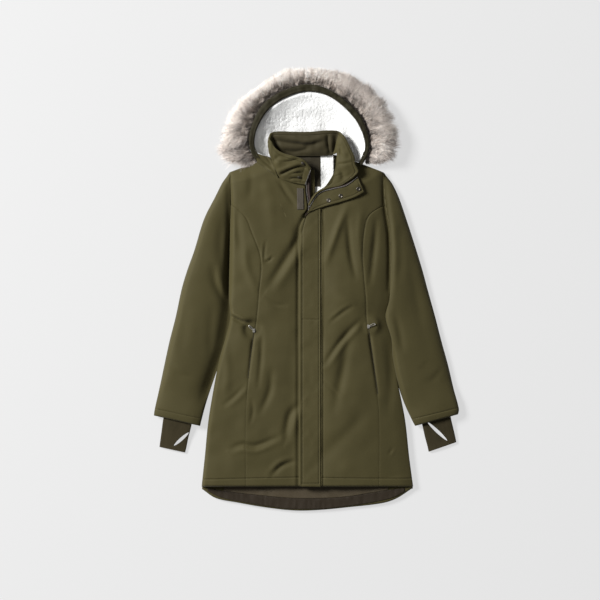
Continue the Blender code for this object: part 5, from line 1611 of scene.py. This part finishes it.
def add_throat():
    """The hood's lower left corner, lying on the left front."""
    outer_low, outer_high = (-0.1220, 0.3180), (-0.1250, 0.342)
    inner_low, inner_high = (-0.0685, 0.2790), (-0.0885, 0.3300)
    outline = patch(
        line(outer_low, outer_high), route((inner_low, (-0.0745, 0.298), inner_high), False),
        line(outer_low, inner_low), line(outer_high, inner_high),
    )

    def low(x, y):
        return np.maximum(front_high(x, y) + GAP, 0.0305)

    def top(x, y):
        return low(x, y) + 0.0040 + relief(x, y, THROAT_CREASES) + 0.0010 * swell(x, y, 0.014, 106)

    u, v = stations(0.045, 0.0024), stations(0.028, 0.0024)
    cloth = laid("hood_throat_cloth", outline, u, v, low, top, (0.002,) * 4, floor=0.3)
    finish_piece(
        cloth, SHELL, ["hood_throat"], flat=(0.066, 0.046), area=0.0019, rests_on=["front_center_left_cloth"]
    )


def closed_tube(name, place, around, way):
    """A closed tube with rounded ends. place(turn, way) gives its points."""
    grid_turn, grid_way = np.meshgrid(np.arange(around) / around, way, indexing="ij")
    points = place(grid_turn, grid_way)
    index = np.arange(around * len(way)).reshape(around, len(way))
    wrapped = np.vstack((index, index[:1]))
    flat = points.reshape(-1, 3)
    faces = quads(wrapped).tolist()
    ends = [flat[index[:, 0]].mean(axis=0), flat[index[:, -1]].mean(axis=0)]
    count = len(flat)
    for a, b in zip(wrapped.tolist(), wrapped[1:].tolist()):
        faces.append((a[0], count, b[0]))
        faces.append((a[-1], b[-1], count + 1))
    thing = mesh_object(name, np.vstack((flat, ends)).tolist(), faces)
    fix_normals(thing)
    return thing


def add_rim():
    """The hood's edge: a soft roll with a seam along each side, drawn up in places."""
    rim = route(RIM)

    def place(turn, way):
        outer_x, outer_y, inner_x, inner_y, low = np.moveaxis(rim(way), -1, 0)
        angle = math.tau * turn
        end = quarter(np.minimum(way, 1 - way) / 0.008)
        share = 0.5 + 0.5 * rounded(np.cos(angle), 0.8) * (0.2 + 0.8 * end)
        x = outer_x + (inner_x - outer_x) * share
        y = outer_y + (inner_y - outer_y) * share
        height = RIM_HEIGHT * (0.55 + 0.25 * np.sin(np.pi * np.clip(way, 0.001, 0.999)) ** 0.5)
        up = np.clip(np.sin(angle), 0, 1)
        soft = waves(way * 0.62, turn * 0.05, (0.0022, 0.016, 111), (0.0007, 0.006, 112)) * up
        groove = 0.0014 * bell(share - 0.62, 0.07) * up
        z = low + height / 2 * (1 + rounded(np.sin(angle), 0.7) * (0.3 + 0.7 * end)) + soft - groove
        return stacked(x, y, z)

    rim_piece = closed_tube("hood_rim_cloth", place, 28, np.linspace(0, 1, 260))
    # The edge's cloth is the shell olive darkened as painted shade for the fur's shadow
    finish_piece(
        rim_piece, RIM_PAINTED_SHADE, ["hood_rim"], flat=(0.044, 0.66), area=0.00976, rests_on=["hood_fleece"]
    )


# The fur


# The band's length round the hood, for its random waves and locks
FUR_LENGTH = 0.95


def add_undercoat():
    """The dense lower fur: a lumpy tube along the rim, inside the reach of the longer hair."""

    def place(turn, way):
        row = route(FUR)(0.006 + 0.988 * way)
        inner_x, inner_y, outer_x, outer_y, height = np.moveaxis(row, -1, 0)
        angle = math.tau * turn
        end = quarter(np.minimum(way, 1 - way) / 0.03)
        lumps = waves(way * FUR_LENGTH, turn * 0.12, (0.11, 0.020, 121), (0.08, 0.008, 122))
        reach = (0.37 + lumps) * (0.3 + 0.7 * end)
        share = 0.30 + reach * np.cos(angle)
        lift = rounded(np.sin(angle), 0.8) * (0.60 + lumps) * (0.3 + 0.7 * end)
        x = inner_x + (outer_x - inner_x) * share
        y = inner_y + (outer_y - inner_y) * share
        return stacked(x, y, height * (0.46 + 0.46 * lift))

    coat = closed_tube("fur_undercoat", place, 36, np.linspace(0, 1, 380))
    finish_piece(coat, UNDERCOAT, ["fur_trim"])


def lock_centres(x, y, size, seed):
    """The place of the nearest lock, about this far apart, and two random numbers of its own."""
    spots = np.random.default_rng(seed).uniform(0.05, 0.95, (160, 160, 4))
    _, found = nearest(x / size + 60.0, y / size + 60.0, spots)
    found[:2] = (found[:2] - 60.0) * size
    return found


# What one root share out counts for in the spacing of the locks
LOCK_STRETCH = 0.014


# Root and tip, before the random tone
HAIR_DARK = (0.270, 0.230, 0.198)
HAIR_LIGHT = (0.750, 0.680, 0.628)
# Places along a hair, and its half width at the first three
HAIR_PLACES = (0.0, 0.42, 0.78, 1.0)
HAIR_WIDTHS = (0.00034, 0.00032, 0.00020)
# The band's width where its fur is full
FULL_REACH = 0.055


def strands(name, span, count, seed):
    """Long tapered hairs in soft wandering locks, dark at the root and pale at the tip."""
    rng = np.random.default_rng(seed)
    along_fur = route(FUR)
    t = np.clip(span[0] + (span[1] - span[0]) * rng.random(count), 0.004, 0.996)
    rows = along_fur(t)
    inner, outer, height = rows[:, :2], rows[:, 2:4], rows[:, 4]
    reach = np.linalg.norm(outer - inner, axis=1)
    out = (outer - inner) / reach[:, None]
    aside = np.column_stack((-out[:, 1], out[:, 0]))
    end = ease(np.minimum(t, 1 - t) / 0.05)
    root = -0.10 + 0.76 * rng.random(count) ** 1.15
    over_rim = rng.random(count) < 0.03
    root = np.where(over_rim, 0.02 + 0.05 * rng.random(count), root) - 0.42 * (1 - end) * (t < 0.5)
    run = FUR_LENGTH * t
    lock = lock_centres(run, root * LOCK_STRETCH, 0.0058, 900)
    stray = rng.normal(size=(count, 3))
    lean = 0.75 * swell(run, root * 0.05, 0.045, 901) + 0.60 * (lock[2] - 0.5) + 0.20 * stray[:, 0]
    lean += 0.85 * (1 - end) * np.where(t < 0.5, 1, -1)
    lift = math.radians(52) * (1 - root) ** 0.9 + 0.42 * (lock[3] - 0.5) + 0.16 * stray[:, 1]
    lift = np.where(over_rim, math.radians(118) + 0.2 * stray[:, 1], lift)
    length = (0.017 + 0.034 * rng.random(count) ** 1.6) * (0.55 + 0.45 * end) * np.minimum(1.0, reach / 0.052)
    length = np.where(over_rim, length * 0.50, length * (0.80 + 0.44 * lock[2]))
    spread = np.cos(lift)
    foot = inner + out * (root * reach)[:, None]
    start = np.column_stack((foot, height * (0.40 + 0.30 * np.sin(np.pi * root))))
    start[:, 2] += 0.05 * height * stray[:, 2]
    flat_way = out * (np.cos(lean) * spread)[:, None]
    flat_way += aside * (np.sin(lean) * np.maximum(spread, 0.45))[:, None]
    way = np.column_stack((flat_way, np.sin(lift)))
    way /= np.linalg.norm(way, axis=1, keepdims=True)
    tip = start + way * length[:, None]
    lock_rows = along_fur(np.clip(lock[0] / FUR_LENGTH, 0, 1))
    lock_root = (lock[1] / LOCK_STRETCH)[:, None]
    gathered = lock_rows[:, :2] + (lock_rows[:, 2:4] - lock_rows[:, :2]) * lock_root
    sideways = np.einsum("ij,ij->i", gathered - foot, aside)
    tip[:, :2] += aside * (sideways * 0.80 * (0.5 + rng.random(count)) * ~over_rim)[:, None]
    tip[:, 2] -= 0.16 * length * ease(root * 1.6)
    far = np.einsum("ij,ij->i", tip[:, :2] - inner, out) / reach
    past = np.clip(far - 0.80 - 0.18 * (lock[2] - 0.5), 0, None)
    back = (past - 0.44 * np.tanh(past / 0.44)) * reach
    tip[:, :2] -= out * back[:, None]
    off_middle = np.clip(np.abs(far - 0.42) / 0.80, 0, 1)
    dome = height * np.sqrt(np.clip(1 - off_middle**2, 0.04, 1)) * 0.86
    tip[:, 2] = np.clip(tip[:, 2], 0.0006, np.maximum(dome, 0.002))
    middle = (start + tip) / 2 + np.column_stack((flat_way * (-0.10 * length)[:, None], 0.20 * length))
    middle += rng.normal(size=(count, 3)) * 0.0011
    middle[:, 2] = np.clip(middle[:, 2], 0.0008, height)
    points = [start * (1 - s) ** 2 + middle * 2 * s * (1 - s) + tip * s**2 for s in HAIR_PLACES]
    flatwise = np.cross(tip - start, rng.normal(size=(count, 3)))
    flatwise /= np.maximum(np.linalg.norm(flatwise, axis=1, keepdims=True), TINY)
    vertices = []
    for point, width in zip(points, HAIR_WIDTHS):
        vertices += [point - flatwise * width, point + flatwise * width]
    stack = np.stack(vertices + [points[3]], axis=1).reshape(-1, 3)
    stack[:, 2] = np.maximum(stack[:, 2], 0.0004)
    base = (np.arange(count) * 7)[:, None]
    quad_faces = (base[:, :, None] + np.array(((0, 1, 3, 2), (2, 3, 5, 4)))[None]).reshape(-1, 4)
    tri_faces = np.column_stack((base + 4, base + 5, base + 6))
    mesh = bpy.data.meshes.new(name)
    mesh.from_pydata(stack.tolist(), [], quad_faces.tolist() + tri_faces.tolist())
    mesh.update()
    patchy = 0.5 + 0.5 * swell(run, root * 0.06, 0.016, 902)
    full = np.clip(reach / FULL_REACH, 0.6, 1.0)
    near_rim = (1 - ease((far - 0.25) / 0.55)) * full
    shade = np.where(over_rim, rng.random(count), lock[3])
    tone = 0.76 + 0.56 * rng.random(count) + (0.50 + 0.50 * near_rim) * (shade - 0.5)
    tone -= 0.10 * near_rim * (1 - patchy)
    tone = np.where(over_rim, tone * 0.72, tone) * (1.46 - 0.46 * full)
    dark, light = np.array(HAIR_DARK), np.array(HAIR_LIGHT)
    colours = np.ones((count, 7, 4))
    for level in range(7):
        s = HAIR_PLACES[level // 2]
        share = ease(s * (1.05 - 0.50 * near_rim) + 0.30 * far - 0.04 + 0.40 * near_rim * (patchy - 0.4))
        colours[:, level, :3] = (dark + (light - dark) * share[:, None]) * tone[:, None]
    attribute = mesh.color_attributes.new("strand_colour", "FLOAT_COLOR", "POINT")
    attribute.data.foreach_set("color", np.clip(colours, 0.01, 0.95).reshape(-1))
    finish_piece(placed(name, mesh), FUR_HAIR)


def add_fur():
    add_undercoat()
    strands("fur_left", (0.0, 0.36), 27000, 131)
    strands("fur_top", (0.33, 0.67), 27000, 132)
    strands("fur_right", (0.64, 1.0), 27000, 133)


# Hard pieces


def bands(count, rings, closed=False):
    """The faces between rings of this many points, one ring after another."""
    faces = []
    for ring in range(rings if closed else rings - 1):
        for k in range(count):
            a, b = ring * count + k, ring * count + (k + 1) % count
            c, d = ((ring + 1) % rings * count + place % count for place in (b, a))
            faces.append((a, b, c, d))
    return faces


def capped(count, rings):
    """The faces of a body of rings, closed by a flat face at each end."""
    last = (rings - 1) * count
    return bands(count, rings) + [tuple(range(count))[::-1], tuple(range(last, last + count))]


def lathe(profile, count=28):
    """Points and faces turned round +Z. A profile row is radius, height."""
    points = []
    for radius, height in profile:
        for k in range(count):
            angle = math.tau * k / count
            points.append((radius * math.cos(angle), radius * math.sin(angle), height))
    return points, capped(count, len(profile))


STUD_PROFILE = (
    (0.0030, 0.0), (0.0042, 0.0), (0.0046, 0.0004), (0.0046, 0.0009), (0.0042, 0.0014), (0.0036, 0.0017),
    (0.0028, 0.0016), (0.0023, 0.0010), (0.0019, 0.0010), (0.0015, 0.0017), (0.0010, 0.0021), (0.0004, 0.0022),
)
SOCKET_PROFILE = (
    (0.0034, 0.0), (0.0048, 0.0), (0.0053, 0.0005), (0.0053, 0.0009), (0.0048, 0.0014), (0.0042, 0.0016),
    (0.0034, 0.0015), (0.0030, 0.0010), (0.0026, 0.0008), (0.0020, 0.0007), (0.0010, 0.0007), (0.0004, 0.0007),
)


def add_turned(name, profile, place, normal, sunk, node):
    """A press fastener's part, sunk a little into a surface."""
    thing = mesh_object(name, *lathe(profile))
    thing.data.set_sharp_from_angle(angle=math.radians(50))
    turn = Vector((0, 0, 1)).rotation_difference(normal).to_matrix().to_4x4()
    turn.translation = place - normal * sunk
    thing.data.transform(turn)
    finish_piece(thing, DARK_METAL, [node])


FLAP_SNAPS = ((0.130, 0.252), (0.086, 0.2345), (0.056, 0.2235))


def add_fasteners(turned, collar):
    """Three sockets on the turned back flap and two studs up the collar's end."""
    tree = surface_of(turned)
    for number, (x, y) in enumerate(FLAP_SNAPS, 1):
        seat = drop(tree, x, y, 0.04)
        add_turned(f"flap_snap_socket_{number}", SOCKET_PROFILE, *seat, 0.0004, f"flap_snap_{number}")
    tree = surface_of(*collar)
    low, high = Vector(COLLAR[1][:3]), Vector(COLLAR[1][3:])
    for name, share in (("lower", 0.21), ("upper", 0.84)):
        seat = drop(tree, *(low + (high - low) * share))
        add_turned(f"collar_stud_{name}_part", STUD_PROFILE, *seat, 0.0003, f"collar_stud_{name}")


def prism(outline, low, high, bevel):
    """Points and faces of a flat plate with softened edges."""
    points = []
    centre = np.mean(outline, axis=0)
    levels = ((low, 1), (low + bevel, 0), (high - bevel, 0), (high, 1))
    for z, tucked in levels:
        for point in outline:
            away = point - centre
            x, y = centre + away * (1 - tucked * bevel / max(np.hypot(*away), TINY))
            points.append((x, y, z))
    return points, capped(len(outline), len(levels))


def ring_plate(outer, inner, low, high, bevel):
    """A plate with a hole, from two outlines with as many points each."""
    middle = (outer + inner) / 2
    outer_flat, inner_flat = (edge + (middle - edge) * 0.35 for edge in (outer, inner))
    rings = (
        (outer, low + bevel), (outer, high - bevel), (outer_flat, high), (inner_flat, high),
        (inner, high - bevel), (inner, low + bevel), (inner_flat, low), (outer_flat, low),
    )
    points = np.concatenate([np.column_stack((ring, np.full(len(ring), z))) for ring, z in rings])
    return points.tolist(), bands(len(outer), len(rings), closed=True)


def turned_to(heading, outline):
    """Plan points turned from +X to this heading."""
    c, s = math.cos(heading), math.sin(heading)
    return np.asarray(outline) @ np.array(((c, -s), (s, c))).T


def teardrop(length, wide, narrow, start, count=32):
    """An outline along +X from start, wide at its far end."""
    found = []
    for k in range(count):
        angle = math.tau * k / count
        along = 0.5 + 0.5 * math.cos(angle)
        width = narrow + (wide - narrow) * along**1.2
        found.append((start + along * length, float(rounded(math.sin(angle), 0.75)) * width / 2))
    return found


EDGE_BEVEL = 0.0003
PULL_HALF = 0.0007
# One side of the slider's outline, from its mouth to its nose
SLIDER_HALF = (
    (-0.0050, -0.0022), (-0.0044, -0.0029), (-0.0005, -0.0031), (0.0035, -0.0024), (0.0050, -0.0012),
)


def add_pocket_hardware(fronts):
    """Zip, slider and the teardrop pull of each pocket."""
    tree = surface_of(*fronts)
    for name, top_x, top_y, low_x, low_y in POCKETS:
        heading = math.atan2(top_y - low_y, top_x - low_x)
        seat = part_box(f"pocket_slider_{name}")
        slider_x, slider_y = (seat[0][0] + seat[1][0]) / 2, (seat[0][1] + seat[1][1]) / 2
        base, top = seat[0][2], seat[1][2]
        spots = []
        for share in np.linspace(0, 1, 70):
            x, y = low_x + (top_x - low_x) * share, low_y + (top_y - low_y) * share
            place, _ = drop(tree, x, y, 0.03)
            spots.append((x, y, place.z - 0.0006))
        teeth(f"pocket_teeth_{name}", spots, [f"pocket_zip_{name}"], width=0.0022, look=DARK_METAL)
        outline = turned_to(heading, SLIDER_HALF + tuple((a, -b) for a, b in SLIDER_HALF[::-1]))
        middle = (slider_x, slider_y)
        step = base + 0.0007
        foot = prism(outline + middle, base - 0.0006, step, EDGE_BEVEL)
        crown = prism(outline * 0.86 + middle, step, top - 0.0002, EDGE_BEVEL)
        slider = joined_meshes(f"pocket_slider_part_{name}", [foot, crown])
        slider.data.shade_flat()
        fix_normals(slider)
        finish_piece(slider, SILVER, [f"pocket_slider_{name}"])
        add_pull(name)


def add_pull(name):
    """The flat drop that hangs from the slider's loop."""
    joint = next(j for j in frame["joints"] if name in j["name"])
    x, y, z = joint["pos_m"]
    direction = math.atan2(joint["axis"][0], -joint["axis"][1])
    outer = turned_to(direction, teardrop(0.0180, 0.0066, 0.0040, 0.0005)) + (x, y)
    inner = turned_to(direction, teardrop(0.0120, 0.0036, 0.0016, 0.0040)) + (x, y)
    plate = ring_plate(outer, inner, z - PULL_HALF, z + PULL_HALF, EDGE_BEVEL)
    pull = mesh_object(f"pocket_pull_part_{name}", *plate)
    fix_normals(pull)
    finish_piece(pull, SILVER, [f"pocket_pull_{name}"], body=f"pull_{name}")


# Stitching that runs over several panels


def add_stitching(fronts, storm, folded, collar):
    points = route(HEM_STITCHES)(np.linspace(0.008, 0.992, 40))
    left = points[points[:, 0] < FLAP_LEFT_X - 0.001]
    right = points[points[:, 0] > FLAP_RIGHT_X + 0.001]
    stitches("hem_stitches", surface_of(*fronts), [left, right])
    stitches("flap_stitches", surface_of(storm), FLAP_STITCHES)
    stitches("turned_flap_stitches", surface_of(folded), [TURNED_EDGE, TURNED_END])
    at = route(collar_rows())
    rows = at(np.linspace(0.010, 0.980, 90))
    row = at(np.array(COLLAR_END_STITCH / COLLAR_LENGTH))
    edge_line = (rows[:, :3] + (rows[:, 3:] - rows[:, :3]) * 0.867)[:, :2]
    end_line = [(row[:3] + (row[3:] - row[:3]) * share)[:2] for share in (0.04, 0.5, 0.86)]
    stitches("collar_stitches", surface_of(*collar), [edge_line, end_line])


# Surface, light and camera


FLOOR_COLOUR = (0.160, 0.160, 0.160)
FLOOR_GLOW = 0.630
FLOOR_REACH = 20.0
FLOOR_Z = -0.0003
SKY_STRENGTH = 0.175
LIGHT_SIZE = 2.0
LIGHT_POWER = 860.0
LIGHT_PLACE = (-4.98, 2.50, 4.20)
LIGHT_FROM = (-4.90, 2.50, 4.20)
# In millimetres
SENSOR_WIDTH = 36.0
FOCAL_LENGTH = 144.0
CAMERA_PLACE = (-0.015, -0.024, 6.0)


def add_floor():
    """A pale sheet that also glows a little, as a lit studio table does."""
    ends = (-FLOOR_REACH, FLOOR_REACH)
    floor = mesh_object("studio_floor", [(x, y, 0.0) for y in ends for x in ends], [(0, 1, 3, 2)])
    floor.location.z = FLOOR_Z
    material = bpy.data.materials.new("studio_floor")
    material.use_nodes = True
    shader = material.node_tree.nodes["Principled BSDF"]
    shader.inputs["Base Color"].default_value = (*FLOOR_COLOUR, 1.0)
    shader.inputs["Roughness"].default_value = 0.95
    shader.inputs["Specular IOR Level"].default_value = 0.0
    shader.inputs["Emission Color"].default_value = (1.0, 1.0, 1.0, 1.0)
    shader.inputs["Emission Strength"].default_value = FLOOR_GLOW
    floor.data.materials.append(material)


def add_light():
    """A broad soft box at the upper left and an even sky."""
    world = bpy.data.worlds.new("studio")
    bpy.context.scene.world = world
    world.use_nodes = True
    background = world.node_tree.nodes["Background"]
    background.inputs["Color"].default_value = (1.0, 1.0, 1.0, 1.0)
    background.inputs["Strength"].default_value = SKY_STRENGTH

    panel = bpy.data.lights.new("soft_box", "AREA")
    panel.shape, panel.size = "SQUARE", LIGHT_SIZE
    panel.energy = LIGHT_POWER
    box = placed("soft_box", panel)
    box.location = LIGHT_PLACE
    box.rotation_euler = Vector(LIGHT_FROM).to_track_quat("Z", "Y").to_euler()


def add_camera():
    """Straight above, far enough away to show the coat without perspective."""
    lens = bpy.data.cameras.new("camera")
    lens.sensor_width, lens.lens = SENSOR_WIDTH, FOCAL_LENGTH
    lens.clip_end = 100.0
    camera = placed("camera", lens)
    camera.location = CAMERA_PLACE
    bpy.context.scene.camera = camera


add_back()
add_tail()
front_pieces = add_fronts()
add_sleeve("sleeve_left", LEFT_SLEEVE, LEFT_CROWN)
add_sleeve("sleeve_right", RIGHT_SLEEVE, RIGHT_CROWN)
add_inner_cuff("inner_cuff_left", LEFT_CUFF, LEFT_THUMB)
add_inner_cuff("inner_cuff_right", RIGHT_CUFF, RIGHT_THUMB)
add_neck()
storm_flap, turned_flap = add_closure()
collar_piece = add_collar()
add_hood()
add_rim()
add_throat()
add_fur()
add_fasteners(turned_flap, collar_piece)
add_pocket_hardware(front_pieces)
add_stitching(front_pieces, storm_flap, turned_flap, collar_piece)
add_floor()
add_light()
add_camera()
bpy.context.scene.view_settings.view_transform = "Standard"
